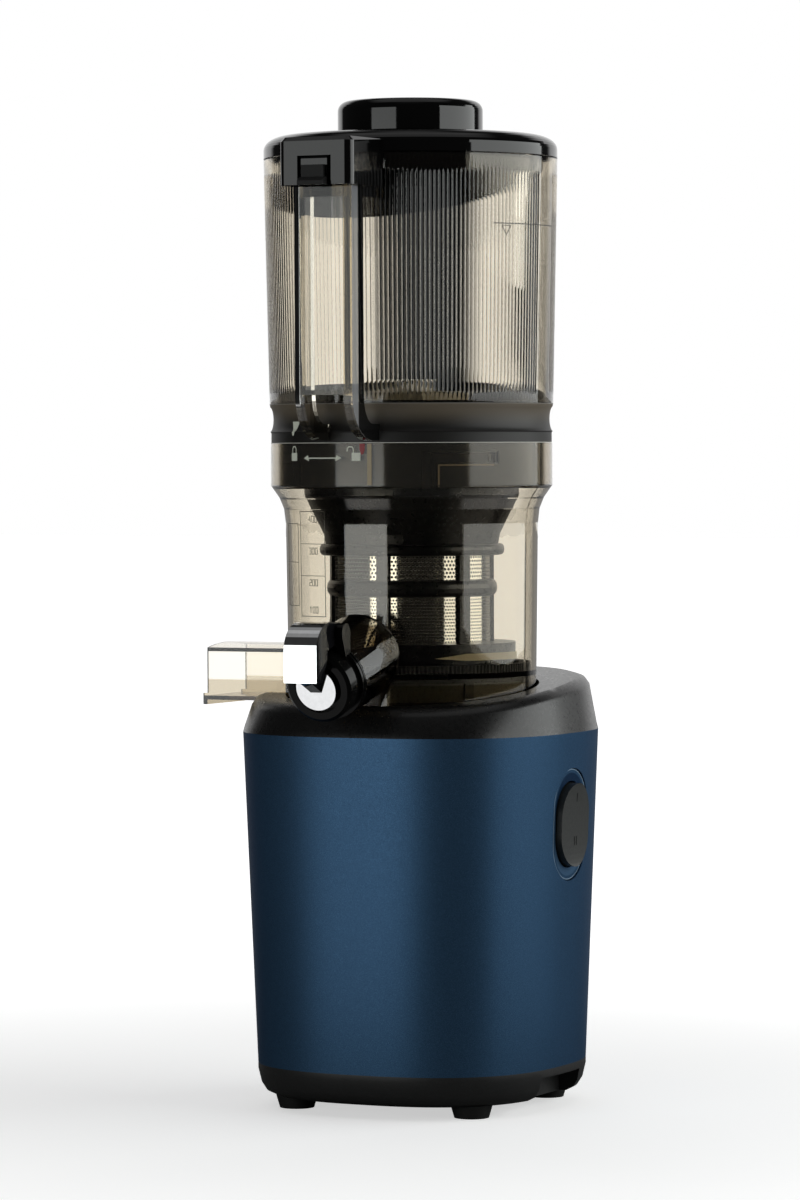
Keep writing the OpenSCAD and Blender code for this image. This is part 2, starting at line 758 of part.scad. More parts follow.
// Juicing bowl. The spout's frame lies at the ring's front, with +Z along the spout, outwards
flare_h = 18;
flare_shares = [[0.12, 0.6], [0.42, 0.3]];
collar_wall = 3.4;
collar_in = collar_r - collar_wall;
floor_hub_r = 14;
floor_hub_h = 4;
bush_r = 12;
spout_wall = 2;
spout_flare = 2.4;
spout_sink = 8;
spout_drop = 5;
ring_r = 17.4;
ring_l = 15;
spout_ring_z = chamber_z - spout_drop;
spout_root = bowl_r - spout_sink;
duct_w = 24;
duct_in = 16;
pulp_hole_r = 8;
pulp_x = duct_in + pulp_hole_r + floor_t * 2;
chute_z = bowl_z + over;
chute_wall = 2;
chute_crown = 2.4;
chute_slant = 8;
chute_end = base_half + chute_overhang;
module at_spout() {
    translate([0, -spout_front, spout_ring_z]) rotate([90 + spout_slope, 0, 0]) children();
}
function bowl_outline(off) = [
    [bowl_r - off, bowl_z], [bowl_neck_r - off, collar_z - flare_h],
    for (f = flare_shares)
        [bowl_neck_r + (collar_r - bowl_neck_r) * f[0] - off, collar_z - flare_h * f[1]],
    [collar_r - over / 2 - off, collar_z]
];
module chute_shape(grow) {
    w = chute_w - 2 * grow;
    h = chute_h - 2 * grow;
    crown_r = (w * w / 4 + chute_crown * chute_crown) / (2 * chute_crown);
    translate([-w / 2, grow]) square([w, h]);
    intersection() {
        translate([0, grow + h + chute_crown - crown_r]) circle(crown_r, $fn = 4 * facet);
        translate([-w / 2, grow + h - over]) square([w, chute_crown + 2 * over]);
    }
}
module chute_run(grow, from, to) {
    translate([-from, 0, chute_z]) rotate([90, 0, -90]) linear_extrude(to - from) chute_shape(grow);
}
module juice_bowl() {
    inner = bowl_wall;
    tube_l = spout_front - spout_root;
    color([0.62, 0.58, 0.5, 0.45]) in_place() difference() {
        union() {
            revolve(concat(
                bowl_outline(0),
                [[collar_r, collar_z + over / 2], [collar_r, collar_top], [collar_in, collar_top],
                    [collar_in, collar_z + over]],
                [for (i = [4 : -1 : 1]) bowl_outline(inner)[i]],
                [[bowl_r - inner, bowl_z]]
            ));
            translate([0, 0, floor_z])
                cylinder(r = bowl_r - over, h = floor_t, $fn = facet);
            translate([0, 0, floor_z - floor_hub_h])
                cylinder(r = bush_r + bowl_wall, h = floor_hub_h + floor_t, $fn = facet);
            difference() {
                at_spout() translate([0, 0, -tube_l])
                    cylinder(r1 = spout_r + spout_flare, r2 = spout_r, h = tube_l - ring_l, $fn = facet);
                translate([0, 0, bowl_z - over]) cylinder(r = bowl_r - over, h = chamber_h, $fn = facet);
                translate([0, 0, cover_top_z + rest_gap]) rotate([cover_slope, 0, 0])
                    translate([-bowl_r, -2 * bowl_r, -bowl_r]) cube([2 * bowl_r, 2 * bowl_r, bowl_r]);
            }
            difference() {
                chute_run(0, bowl_r - 2 * bowl_wall, chute_end);
                translate([0, 0, bowl_z - over]) cylinder(r = bowl_r - over, h = chamber_h, $fn = facet);
                translate([-chute_end, 0, chute_z]) rotate([0, -atan(chute_slant / chute_h), 0])
                    translate([-chute_end, -chute_w, 0]) cube([chute_end, 2 * chute_w, 2 * chute_h]);
            }
            translate([-chute_end, 0, chute_z]) rotate([0, 0, 180])
                translate([0, -chute_w / 2, -lip_reach]) cube([lip_reach, chute_w, 2 * lip_reach + over]);
            translate([-bowl_r + over, -duct_w / 2 - chute_wall, chute_z])
                cube([bowl_r - duct_in, duct_w + 2 * chute_wall, floor_z - chute_z]);
            for (i = [0 : lug_n - 1])
                rotate([0, 0, lock_turn - lug_arc / 2 + i * 360 / lug_n]) translate([0, 0, lug_z])
                    rotate_extrude(angle = lug_arc, $fn = facet)
                        translate([spigot_r - lug_deep + slip_gap, 0])
                            square([collar_in - spigot_r + lug_deep, lug_h]);
        }
        translate([0, 0, floor_z - floor_hub_h - over])
            cylinder(r = bush_r, h = floor_hub_h + floor_t + 2 * over, $fn = facet);
        difference() {
            at_spout() translate([0, 0, -tube_l - over])
                cylinder(r = spout_r - spout_wall, h = tube_l + over, $fn = facet);
            translate([0, 0, bowl_z - over])
                cylinder(r = bowl_r, h = skirt_h + floor_t + over, $fn = facet);
        }
        chute_run(chute_wall, bowl_r - over, chute_end + chute_h);
        translate([-bowl_r, -duct_w / 2, chute_z + chute_wall])
            cube([bowl_r - duct_in - chute_wall - over, duct_w, floor_z - chute_z - chute_wall]);
        translate([-pulp_x, 0, floor_z - over])
            cylinder(r = pulp_hole_r, h = floor_t + 2 * over, $fn = facet);
    }
}
gasket_w = 5.7;
gasket_in = bowl_r - bowl_wall - slip_gap - gasket_w;
gasket_h = 4;
module bowl_gasket() {
    color([0.1, 0.1, 0.1]) in_place() translate([0, 0, chamber_z])
        ring_solid(bowl_r - bowl_wall - slip_gap, gasket_in, gasket_h);
}

// Dark ring with windows under the floor, inside the bowl's skirt
foot_windows = 8;
foot_window_share = 0.9;
foot_window_turn = -36.5;
foot_ring_t = 2;
foot_rim_h = 3.2;
module bowl_foot_ring() {
    outer = bowl_r - bowl_wall - slip_gap;
    h = skirt_h - slip_gap;
    step = 360 / foot_windows;
    color([0.1, 0.1, 0.1]) in_place() translate([0, 0, bowl_z]) difference() {
        ring_solid(outer, outer - foot_ring_t, h);
        for (i = [0 : foot_windows - 1])
            rotate([0, 0, foot_window_turn + i * step + step * (1 - foot_window_share) / 2])
                translate([0, 0, foot_rim_h]) rotate_extrude(angle = step * foot_window_share, $fn = facet)
                    translate([outer - 2 * foot_ring_t, 0])
                        square([3 * foot_ring_t, h - foot_rim_h - foot_ring_t]);
        translate([-bowl_r, -duct_w / 2 - bowl_wall, -over])
            cube([bowl_r, duct_w + 2 * bowl_wall, skirt_h + 2 * over]);
    }
}
socket_r = 9.9;
module auger_bush() {
    color([0.85, 0.83, 0.75]) in_place() translate([0, 0, floor_z - floor_hub_h])
        ring_solid(bush_r, socket_r + run_gap, floor_hub_h + floor_t + over / 2);
}

// Strainer: a ribbed frame with a funnel mouth, round a perforated screen
plate_t = 2.5;
seat_ring_gap = 1.9;
seat_ring_rise = 5.6;
seat_ring_h = 8.4;
seat_ring_r = gasket_in - seat_ring_gap;
seat_ring_z = chamber_z + seat_ring_rise;
screen_t = 0.7;
screen_gap = 0.3;
rib_w = 6.4;
rib_turn = 35;
mid_ring_proud = 1.6;
mid_ring_r = strainer_r + mid_ring_proud;
mid_ring_h = 8.4;
mid_ring_rise = 37;
top_ring_proud = 5.2;
top_ring_r = strainer_r + top_ring_proud;
top_ring_h = 5.6;
top_ring_rise = 57.4;
funnel_low_proud = 2;
funnel_low_r = strainer_r + funnel_low_proud;
funnel_room = 8.2;
funnel_top_r = bowl_r - funnel_room;
funnel_h = 24.4;
funnel_wall = 2;
funnel_knee_share = 0.2;
strainer_z = chamber_z + rest_gap;
screen_inset = 2;
screen_r = strainer_r - screen_inset;
screen_z = strainer_z + plate_t;
top_ring_z = chamber_z + top_ring_rise;
mid_ring_z = chamber_z + mid_ring_rise;
funnel_z = top_ring_z + top_ring_h;
funnel_top = funnel_z + funnel_h;
module rounded_ring(outer, inner, z, h) {
    revolve(concat(
        [[inner, z], [outer - h / 3, z]],
        arc([outer - h / 3, z + h / 2], h / 3, h / 2, -60, 60, 4),
        [[outer - h / 3, z + h], [inner, z + h]]
    ));
}
module strainer_frame() {
    frame_in = screen_r + screen_gap;
    color([0.09, 0.09, 0.09]) in_place() difference() {
        union() {
            revolve([
                [socket_r + plate_t, strainer_z], [gasket_in - seat_ring_h, strainer_z],
                [gasket_in - seat_ring_h, seat_ring_z], [seat_ring_r, seat_ring_z],
                [seat_ring_r, seat_ring_z + seat_ring_h], [frame_in, seat_ring_z + seat_ring_h],
                [frame_in, screen_z], [socket_r + plate_t, screen_z]
            ]);
            rounded_ring(mid_ring_r, frame_in, mid_ring_z, mid_ring_h);
            rounded_ring(top_ring_r, frame_in, top_ring_z, top_ring_h);
            revolve([
                [frame_in, funnel_z - over], [funnel_low_r, funnel_z - over],
                [funnel_low_r + over, funnel_z + funnel_h * funnel_knee_share],
                [funnel_top_r - over, funnel_top - 2 * over],
                [funnel_top_r, funnel_top], [funnel_top_r - funnel_wall, funnel_top],
                [funnel_low_r - funnel_wall + over, funnel_z + funnel_h * funnel_knee_share],
                [frame_in, funnel_z]
            ]);
            for (i = [0 : strainer_ribs - 1])
                rotate([0, 0, rib_turn + i * 360 / strainer_ribs])
                    translate([frame_in, -rib_w / 2, seat_ring_z + seat_ring_h - over])
                        cube([strainer_r - frame_in, rib_w, funnel_z - seat_ring_z - seat_ring_h + over]);
        }
        translate([-pulp_x, 0, strainer_z - over])
            cylinder(r = pulp_hole_r, h = plate_t + 2 * over, $fn = facet);
    }
}
module strainer_screen() {
    color([0.75, 0.76, 0.76]) in_place() translate([0, 0, screen_z])
        ring_solid(screen_r, screen_r - screen_t, funnel_z - screen_z);
}

// Auger: a tapering core with one helical flight, a steel hub with a hexagonal socket, and a cutting top
auger_z = screen_z + rest_gap + plate_t / 5;
flight_rise = 8;
flight_over = 18;
flight_flare = 9;
flare_run_share = 0.8;
run_out_share = 0.2;
core_drop = 2;
flight_z = auger_z + flight_rise;
flight_r = screen_r - screen_t - flight_gap;
flight_top = funnel_top + flight_over;
flight_low_deep = 6.4;
core_low_r = flight_r - flight_low_deep;
core_top_r = 14;
core_top = waist_z - core_drop;
drum_h = 6;
flight_steps = 30;
function core_r(z) = let (t = min(1, max(0, (z - flight_z) / (funnel_z - flight_z))))
    core_top_r + (core_low_r - core_top_r) * (1 - t) * (1 - t);
function tip_r(z) = flight_r
    + flight_flare * min(1, max(0, (z - funnel_z - flight_t * 2) / (funnel_h * flare_run_share)));
function flight_section(i) =
    let (
        a = i * 360 / flight_steps,
        z = flight_z + i * flight_pitch / flight_steps,
        root = core_r(z) - over,
        left = (flight_top - z) / (flight_pitch * run_out_share),
        tip = root + over + (tip_r(z) - root - over) * min(1, max(0.05, left))
    )
    [
        for (p = [[root, 0], [root, flight_t], [tip, flight_t * 3 / 4], [tip, flight_t / 4]])
            [p[0] * cos(a), p[0] * sin(a), z + p[1]]
    ];
module auger() {
    sections = floor((flight_top - flight_z) / flight_pitch * flight_steps);
    core_steps = 10;
    socket_top = auger_z + socket_l;
    color([0.2, 0.19, 0.17]) in_place() difference() {
        union() {
            revolve(concat(
                [[0, auger_z], [core_low_r + over, auger_z], [core_low_r + over, flight_z - over]],
                [for (i = [0 : core_steps])
                    let (z = flight_z + i * (funnel_z - flight_z) / core_steps) [core_r(z), z]],
                [[core_top_r - over, core_top], [0, core_top]]
            ));
            stack([for (i = [0 : sections]) flight_section(i)]);
        }
        translate([0, 0, auger_z - over])
            cylinder(r = socket_r, h = socket_l - hub_drop + over, $fn = facet);
    }
}
module auger_hub() {
    hub_z = floor_z - floor_hub_h + over;
    hub_top = auger_z + socket_l - hub_drop;
    color([0.78, 0.78, 0.8]) in_place() difference() {
        translate([0, 0, hub_z]) cylinder(r = socket_r, h = hub_top - hub_z, $fn = facet);
        translate([0, 0, hub_z - over])
            cylinder(r = (hex_flats + 2 * slip_gap) / sqrt(3), h = hex_top - hub_z + 2 * over, $fn = 6);
    }
}
blade_inset = 7.4;
blade_r = flight_r - blade_inset;
blade_h = 9;
blade_peak = 15;
blade_t = 3;
blade_sweep = 100;
blade_core_share = 0.45;
module feed_blade() {
    color([0.8, 0.74, 0.6]) in_place() translate([0, 0, core_top]) {
        revolve(concat(
            [[0, 0], [blade_r, 0], [blade_r, blade_t / 2]],
            arc([0, blade_t], blade_r * blade_core_share, blade_peak - blade_t, 20, 90, 8)
        ));
        for (turn = [0, 180]) rotate([0, 0, turn]) translate([-blade_r / 2, 0, 0])
            rotate_extrude(angle = blade_sweep, $fn = facet)
                polygon([
                    [blade_r - 2 * blade_t, blade_t / 3], [blade_r - blade_t / 2, blade_t / 3],
                    [blade_r - blade_t, blade_h]
                ]);
    }
}

// Spout ring, with ears for the lever's pin, and the lever with its plug and seal
bore_r = 12.4;
plug_r = 10.5;
plug_t = 3;
plug_out = 2;
seal_t = 2.2;
seal_back_r = 8.5;
seal_front_r = 10.5;
lip_r = 7.5;
lever_pin_r = 1.6;
pin_back = 5;
pin_rise = 9.5;
lever_pin_y = spout_front - pin_back;
lever_pin_z = spout_ring_z + ring_r + pin_rise;
ear_w = 4;
ear_size = 4.5;
ear_root = 5.4;
ear_root_share = 0.72;
lever_wall = 6;
lever_low_rise = 3.3;
lever_bend_rise = 19.5;
lever_top_rise = 32.3;
lever_bend = 16;
lever_end_r = 5;
lever_low = spout_ring_z + lever_low_rise;
lever_mid = spout_ring_z + lever_bend_rise;
lever_high = spout_ring_z + lever_top_rise;
module at_lever_pin() {
    translate([0, -lever_pin_y, lever_pin_z]) rotate([0, 90, 0]) children();
}
module spout_ring() {
    groove = 0.8;
    ear_x = lever_w / 2 + slip_gap + ear_w / 2;
    color([0.05, 0.05, 0.05]) in_place() difference() {
        union() {
            at_spout() translate([0, 0, -ring_l]) revolve([
                [lip_r, 0], [spout_r, 0], [spout_r, 2 * groove], [spout_r - groove, 2 * groove],
                [spout_r - groove, 3 * groove], [spout_r, 3 * groove], [spout_r, 5 * groove],
                [ring_r - groove, 5 * groove], [ring_r - groove, 6 * groove], [ring_r, 6 * groove],
                [ring_r, ring_l - 2 * groove], [ring_r - 2 * groove, ring_l], [lip_r, ring_l]
            ]);
            for (side = [-1, 1]) hull() {
                translate([side * ear_x, 0, 0]) at_lever_pin()
                    cylinder(r = ear_size, h = ear_w, center = true, $fn = 32);
                translate([side * ear_x - ear_w / 2, ear_root - spout_front,
                    spout_ring_z + ring_r * ear_root_share])
                    cube([ear_w, ear_size, ear_size]);
            }
        }
        at_spout() {
            translate([0, 0, plug_out - plug_t - seal_t - rest_gap])
                cylinder(r = bore_r, h = ring_l, $fn = facet);
            translate([0, 0, -ring_l - over]) cylinder(r = lip_r, h = 2 * ring_l, $fn = facet);
            translate([0, 0, -2 * ring_l]) cylinder(r = bore_r, h = ring_l + ring_l / 2, $fn = facet);
        }
        at_lever_pin() cylinder(r = lever_pin_r, h = 2 * lever_w, center = true, $fn = facet);
    }
}
module lever_pin() {
    color([0.7, 0.7, 0.72]) in_place() at_lever_pin()
        cylinder(r = lever_pin_r, h = lever_w + 2 * (slip_gap + ear_w), center = true, $fn = facet);
}
module cap_lever() {
    web = 3;
    front = -reach_front;
    face = front + lever_wall;
    color([0.85, 0.86, 0.88]) in_place() difference() {
        union() {
            translate([-lever_w / 2, 0, 0]) rotate([90, 0, 90]) linear_extrude(lever_w) polygon(concat(
                [[front, lever_low]],
                arc([front + lever_bend, lever_mid], lever_bend, lever_high - lever_mid, 180, 90, 10),
                arc([-lever_pin_y, lever_pin_z], lever_end_r, lever_end_r, 80, -100, 10),
                [[face + 2 * web, lever_mid - over],
                    [face + 2 * web - over, lever_low + 3 * web], [face, lever_low]]
            ));
            translate([-web, 0, 0]) rotate([90, 0, 90]) linear_extrude(2 * web) polygon([
                [-spout_front + over, spout_ring_z - web], [face - over, lever_low],
                [face - over, lever_low + 3 * web], [-spout_front - 2 * over, spout_ring_z + 2 * web]
            ]);
        }
        at_lever_pin() cylinder(r = lever_pin_r + run_gap, h = 2 * lever_w, center = true, $fn = facet);
    }
}
module cap_plug() {
    color([0.85, 0.86, 0.88]) in_place() at_spout() translate([0, 0, plug_out - plug_t])
        cylinder(r = plug_r, h = plug_t, $fn = facet);
}
module cap_seal() {
    color([0.2, 0.2, 0.2]) in_place() at_spout() translate([0, 0, plug_out - plug_t - seal_t])
        cylinder(r1 = seal_back_r, r2 = seal_front_r, h = seal_t, $fn = facet);
}

// Hopper: a clear tube over a narrow waist, and a spigot that locks in the bowl's collar
spigot_gap = 0.4;
spigot_r = collar_in - spigot_gap;
spigot_l = collar_h;
spigot_wall = 2.2;
spigot_in = spigot_r - spigot_wall;
waist_dip = 1.9;
waist_band_share = 0.25;
waist_dip_shares = [0.6, 0.32];
waist_knee_share = 0.45;
lock_turn = -28;
lock_gap = 0.5;
lug_arc = 4;
groove_arc = 6;
lug_h = 5;
lug_rise = 12;
lug_z = collar_z + lug_rise;
lug_n = 3;
lug_deep = 1.2;
function hopper_outline() = concat(
    [[spigot_r, hopper_z], [collar_r - over / 3, hopper_z],
        [collar_r - over / 3, hopper_z + waist_h * waist_band_share]],
    arc([hopper_low_r, hopper_z + waist_h * waist_dip_shares[0]],
        waist_dip, waist_h * waist_dip_shares[1], 260, 100, 6),
    [[hopper_low_r, waist_z], [hopper_r, rim_z]]
);
module hopper() {
    color([0.6, 0.56, 0.48, 0.4]) in_place() difference() {
        revolve(concat(
            [[spigot_in, hopper_z - spigot_l], [spigot_r, hopper_z - spigot_l]],
            hopper_outline(),
            [[hopper_r - hopper_wall, rim_z], [hopper_low_r - hopper_wall, waist_z],
                [spigot_in, hopper_z + waist_h * waist_knee_share]]
        ));
        for (i = [0 : lug_n - 1])
            rotate([0, 0, lock_turn - hopper_turns + i * 360 / lug_n]) {
                translate([0, 0, lug_z - lock_gap]) rotate([0, 0, -groove_arc / 2])
                    rotate_extrude(angle = hopper_turns + groove_arc, $fn = facet)
                        translate([spigot_r - lug_deep, 0]) square([2 * lug_deep, lug_h + 2 * lock_gap]);
                translate([0, 0, hopper_z - spigot_l - over]) rotate([0, 0, -groove_arc / 2])
                    rotate_extrude(angle = groove_arc, $fn = facet) translate([spigot_r - lug_deep, 0])
                        square([2 * lug_deep, lug_z - hopper_z + spigot_l + 2 * over]);
            }
    }
}
funnel_mouth = flight_r + flight_flare + flight_gap;
module feed_funnel() {
    inset = slip_gap;
    low_r = spigot_in - inset;
    bottom = hopper_z - spigot_l + over;
    color([0.1, 0.1, 0.1]) in_place() revolve([
        [funnel_mouth, funnel_top + rest_gap], [funnel_top_r, funnel_top + rest_gap],
        [funnel_top_r, bottom], [low_r, bottom], [low_r, hopper_z + waist_h * waist_knee_share],
        [hopper_low_r - hopper_wall - inset, waist_z],
        [hopper_low_r - hopper_wall - 2 * over, waist_z + over],
        [low_r - 3 * over, hopper_z + waist_h * waist_knee_share + over],
        [funnel_mouth + 2 * over, bottom + 3 * over], [funnel_mouth, bottom + over]
    ]);
}

// Handle on the front of the hopper: two ribs with a clear window between them
rib_x = 13.1;
rib_t = 5;
rib_deep = 12;
rib_foot_h = 8;
rib_bend = 22;
window_t = 2.4;
latch_drop = 17.5;
bridge_t = 5;
handle_top = lid_z - latch_drop - rest_gap;
bend_z = hopper_z + over + rib_bend;
module rib_profile() {
    back = handle_reach - rib_deep;
    root = hopper_low_r - waist_dip - hopper_wall / 2;
    polygon(concat(
        [[-handle_reach, handle_top]],
        arc([-handle_reach + rib_bend, bend_z], rib_bend, rib_bend, 180, 270, 8),
        [[-root, bend_z - rib_bend], [-root, bend_z - rib_bend + rib_foot_h]],
        arc([-handle_reach + rib_bend, bend_z], rib_bend - rib_deep, rib_bend - rib_foot_h, 270, 180, 8),
        [[-back, handle_top]]
    ));
}
module hopper_handle() {
    wall_top = hopper_low_r + (hopper_r - hopper_low_r) * (handle_top - waist_z) / hopper_h;
    color([0.5, 0.48, 0.44, 0.5]) in_place() difference() {
        union() {
            for (side = [-1, 1])
                translate([side * rib_x - rib_t / 2, 0, 0]) rotate([90, 0, 90]) linear_extrude(rib_t)
                    rib_profile();
            translate([-rib_x, -handle_reach, bend_z + over])
                cube([2 * rib_x, window_t, handle_top - bend_z - over]);
            translate([-rib_x, -handle_reach, bend_z]) cube([2 * rib_x, rib_deep, window_t]);
            translate([-rib_x - rib_t / 2, -handle_reach, handle_top - bridge_t])
                cube([2 * rib_x + rib_t, handle_reach - wall_top + 2 * over, bridge_t]);
        }
        revolve(concat([[0, hopper_z]], hopper_outline(), [[0, rim_z]]));
    }
}

// Rear hinge of the lid
hinge_out = 7;
hinge_rise = 2;
hinge_y = hopper_r + hinge_out;
hinge_z = lid_z + hinge_rise;
knuckle_r = 4.5;
knuckle_w = 14;
hinge_pin_r = 2;
leaf_w = 9;
leaf_h = 16;
module at_hinge() {
    translate([0, hinge_y, hinge_z]) rotate([0, 90, 0]) children();
}
module hinge_bracket() {
    color([0.06, 0.06, 0.06]) in_place() difference() {
        union() {
            for (side = [-1, 1]) {
                translate([side * (knuckle_w / 2 + slip_gap + leaf_w / 2), 0, 0]) {
                    at_hinge() cylinder(r = knuckle_r, h = leaf_w, center = true, $fn = facet);
                    translate([-leaf_w / 2, hopper_r - over, hinge_z - leaf_h])
                        cube([leaf_w, hinge_y - hopper_r + over + knuckle_r - over, leaf_h]);
                }
            }
            translate([-knuckle_w / 2 - leaf_w, hopper_r - over, hinge_z - leaf_h])
                cube([knuckle_w + 2 * leaf_w, hinge_y - hopper_r, leaf_h / 3]);
        }
        translate([0, 0, waist_z]) revolve([
            [0, 0], [hopper_low_r, 0], [hopper_r, hopper_h],
            [hopper_r, hopper_h + lid_h], [0, hopper_h + lid_h]
        ]);
        at_hinge() cylinder(r = hinge_pin_r, h = 4 * knuckle_w, center = true, $fn = facet);
    }
}
module hinge_pin() {
    color([0.75, 0.75, 0.78]) in_place() at_hinge()
        cylinder(r = hinge_pin_r, h = knuckle_w + 2 * (leaf_w + slip_gap), center = true, $fn = facet);
}

// Lid with its knuckle, knob, slanting skirt, latch box and latch
lid_round = 7;
lid_edge = 11.2;
lid_wall = 2.4;
lid_crown = 1.4;
module lid() {
    lid_r = hopper_r;
    side_h = lid_h - lid_round;
    color([0.05, 0.05, 0.05]) in_place() difference() {
        union() {
            revolve(concat(
                [[0, lid_z + lid_wall], [lid_r - lid_wall, lid_z + lid_wall], [lid_r - lid_wall, lid_z],
                    [lid_r, lid_z]],
                arc([lid_r - lid_edge, lid_z + side_h - lid_crown], lid_edge, lid_round, 0, 84, 8),
                [[knob_r, lid_z + lid_h], [0, lid_z + lid_h]]
            ));
            at_hinge() cylinder(r = knuckle_r, h = knuckle_w, center = true, $fn = facet);
            translate([-knuckle_w / 2, lid_r - lid_round, lid_z])
                cube([knuckle_w, hinge_y - lid_r + lid_round, knuckle_r]);
        }
        at_hinge() cylinder(r = hinge_pin_r + run_gap, h = 2 * knuckle_w, center = true, $fn = facet);
        translate([0, 0, lid_z - over])
            cylinder(r = lid_r - lid_edge, h = lid_wall + 3 * over, $fn = facet);
    }
}
module lid_knob() {
    knob_round = 5;
    color([0.04, 0.04, 0.04]) in_place() revolve(concat(
        [[0, knob_z], [knob_r - over / 2, knob_z], [knob_r, knob_z + over / 2]],
        arc([knob_r - knob_round, knob_z + knob_h - knob_round], knob_round, knob_round, 0, 80, 8),
        [[0, knob_z + knob_h]]
    ));
}
skirt_gap = 2.2;
skirt_r = hopper_low_r - hopper_wall - skirt_gap;
skirt_wall = 2;
skirt_low = 32;
skirt_rise = 0.3;
module lid_skirt() {
    top = lid_z + lid_wall;
    color([0.04, 0.04, 0.04]) in_place() difference() {
        translate([0, 0, top - skirt_low - lid_wall])
            ring_solid(skirt_r, skirt_r - skirt_wall, skirt_low + lid_wall);
        translate([0, -skirt_r, top - skirt_low - lid_wall]) rotate([atan(skirt_rise), 0, 0])
            translate([-2 * skirt_r, -skirt_r, -2 * skirt_low])
                cube([4 * skirt_r, 4 * skirt_r, 2 * skirt_low]);
    }
}
box_w = 39;
box_stand = 9.5;
box_front = handle_reach + box_stand;
box_top_drop = 7;
box_round = 4;
tongue_w = 14;
tongue_h = 14;
tongue_t = 2.5;
slot_w = 2;
module latch_box() {
    low = lid_z - latch_drop;
    high = lid_z + lid_h - box_top_drop;
    root = hopper_r - lid_round / 2;
    color([0.05, 0.05, 0.05]) in_place() difference() {
        union() {
            hull() for (sx = [-1, 1])
                translate([sx * (box_w / 2 - box_round), -box_front + box_round, low]) {
                    cylinder(r = box_round, h = high - low - box_round / 2, $fn = 32);
                    cylinder(r = box_round / 2, h = high - low, $fn = 32);
                    translate([-box_round, box_front - box_round - root, 0])
                        cube([2 * box_round, over, high - low]);
                }
        }
        translate([0, 0, low - over])
            cylinder(r = hopper_r + rest_gap, h = latch_drop + over, $fn = facet);
        translate([0, 0, lid_z - over / 2]) cylinder(r = hopper_r, h = lid_h, $fn = facet);
        translate([-box_w / 2 + lid_wall, -box_front + tongue_t + over, low - over])
            cube([box_w - 2 * lid_wall, box_front, latch_drop - rest_gap]);
        translate([-tongue_w / 2 - slot_w, -box_front - over, low - over])
            cube([tongue_w + 2 * slot_w, tongue_t + 3 * over, tongue_h + over]);
    }
}
latch_pad_w = 12;
latch_pad_t = 2;
latch_pad_share = 0.42;
ledge_t = 3.6;
ledge_reach = 4.5;
module lid_latch() {
    low = lid_z - latch_drop;
    top = low + tongue_h - slip_gap;
    hinge_r = tongue_t / 2;
    color([0.04, 0.04, 0.04]) in_place() {
        translate([-tongue_w / 2, -box_front, low])
            cube([tongue_w, tongue_t, tongue_h - slip_gap - hinge_r]);
        translate([0, -box_front + hinge_r, top - hinge_r]) rotate([0, 90, 0])
            cylinder(r = hinge_r, h = tongue_w, center = true, $fn = facet);
        translate([-latch_pad_w / 2, -box_front - latch_pad_t, low + ledge_t])
            cube([latch_pad_w, latch_pad_t + over, tongue_h * latch_pad_share]);
        translate([-tongue_w / 2, 0, 0]) rotate([90, 0, 90]) linear_extrude(tongue_w) polygon([
            [-box_front, low], [-box_front - ledge_reach, low],
            [-box_front - ledge_reach, low + ledge_t / 2],
            [-box_front - latch_pad_t, low + ledge_t], [-box_front, low + ledge_t]
        ]);
    }
}

base_shell();
top_cover();
bottom_pan();
rubber_feet();
pan_screws();
switch_bezel();
switch_rocker();
switch_body();
cord_gland();
gearbox_case();
gearbox_lid();
gearbox_mounts();
motor_stator();
motor_windings();
motor_bracket();
motor_bolts();
motor_bearings();
motor_rotor();
motor_fan();
layshaft_pin();
layshaft_gear();
output_gear();
drive_shaft();
output_bearing();
shaft_seal();
control_board();
juice_bowl();
bowl_gasket();
bowl_foot_ring();
auger_bush();
strainer_frame();
strainer_screen();
auger();
auger_hub();
feed_blade();
spout_ring();
lever_pin();
cap_lever();
cap_plug();
cap_seal();
hopper();
feed_funnel();
hopper_handle();
hinge_bracket();
hinge_pin();
lid();
lid_knob();
lid_skirt();
latch_box();
lid_latch();
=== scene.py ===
"""Looks of the cold press juicer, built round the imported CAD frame. Lengths are in metres."""

import json
import math

import bmesh
import bpy
from mathutils import Matrix, Vector


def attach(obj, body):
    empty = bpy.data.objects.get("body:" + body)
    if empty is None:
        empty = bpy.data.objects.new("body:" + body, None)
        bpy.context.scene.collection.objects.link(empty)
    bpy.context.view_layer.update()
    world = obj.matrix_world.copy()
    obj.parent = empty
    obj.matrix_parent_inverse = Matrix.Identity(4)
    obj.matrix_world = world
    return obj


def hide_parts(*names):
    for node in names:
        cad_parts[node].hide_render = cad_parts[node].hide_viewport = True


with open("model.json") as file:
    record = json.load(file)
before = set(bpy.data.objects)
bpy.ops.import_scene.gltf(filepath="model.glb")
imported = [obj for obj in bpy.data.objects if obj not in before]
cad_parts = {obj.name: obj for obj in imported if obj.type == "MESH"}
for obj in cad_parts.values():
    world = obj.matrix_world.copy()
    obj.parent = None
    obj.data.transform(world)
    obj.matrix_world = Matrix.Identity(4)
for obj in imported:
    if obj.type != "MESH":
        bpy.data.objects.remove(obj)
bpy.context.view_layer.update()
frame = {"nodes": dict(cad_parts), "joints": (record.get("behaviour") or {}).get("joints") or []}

NODES = frame["nodes"]
JOINTS = {joint["name"]: joint for joint in frame["joints"]}
AXIS = Vector(JOINTS["output_spin"]["pos_m"])
AXIS.z = 0.0
MM = 0.001

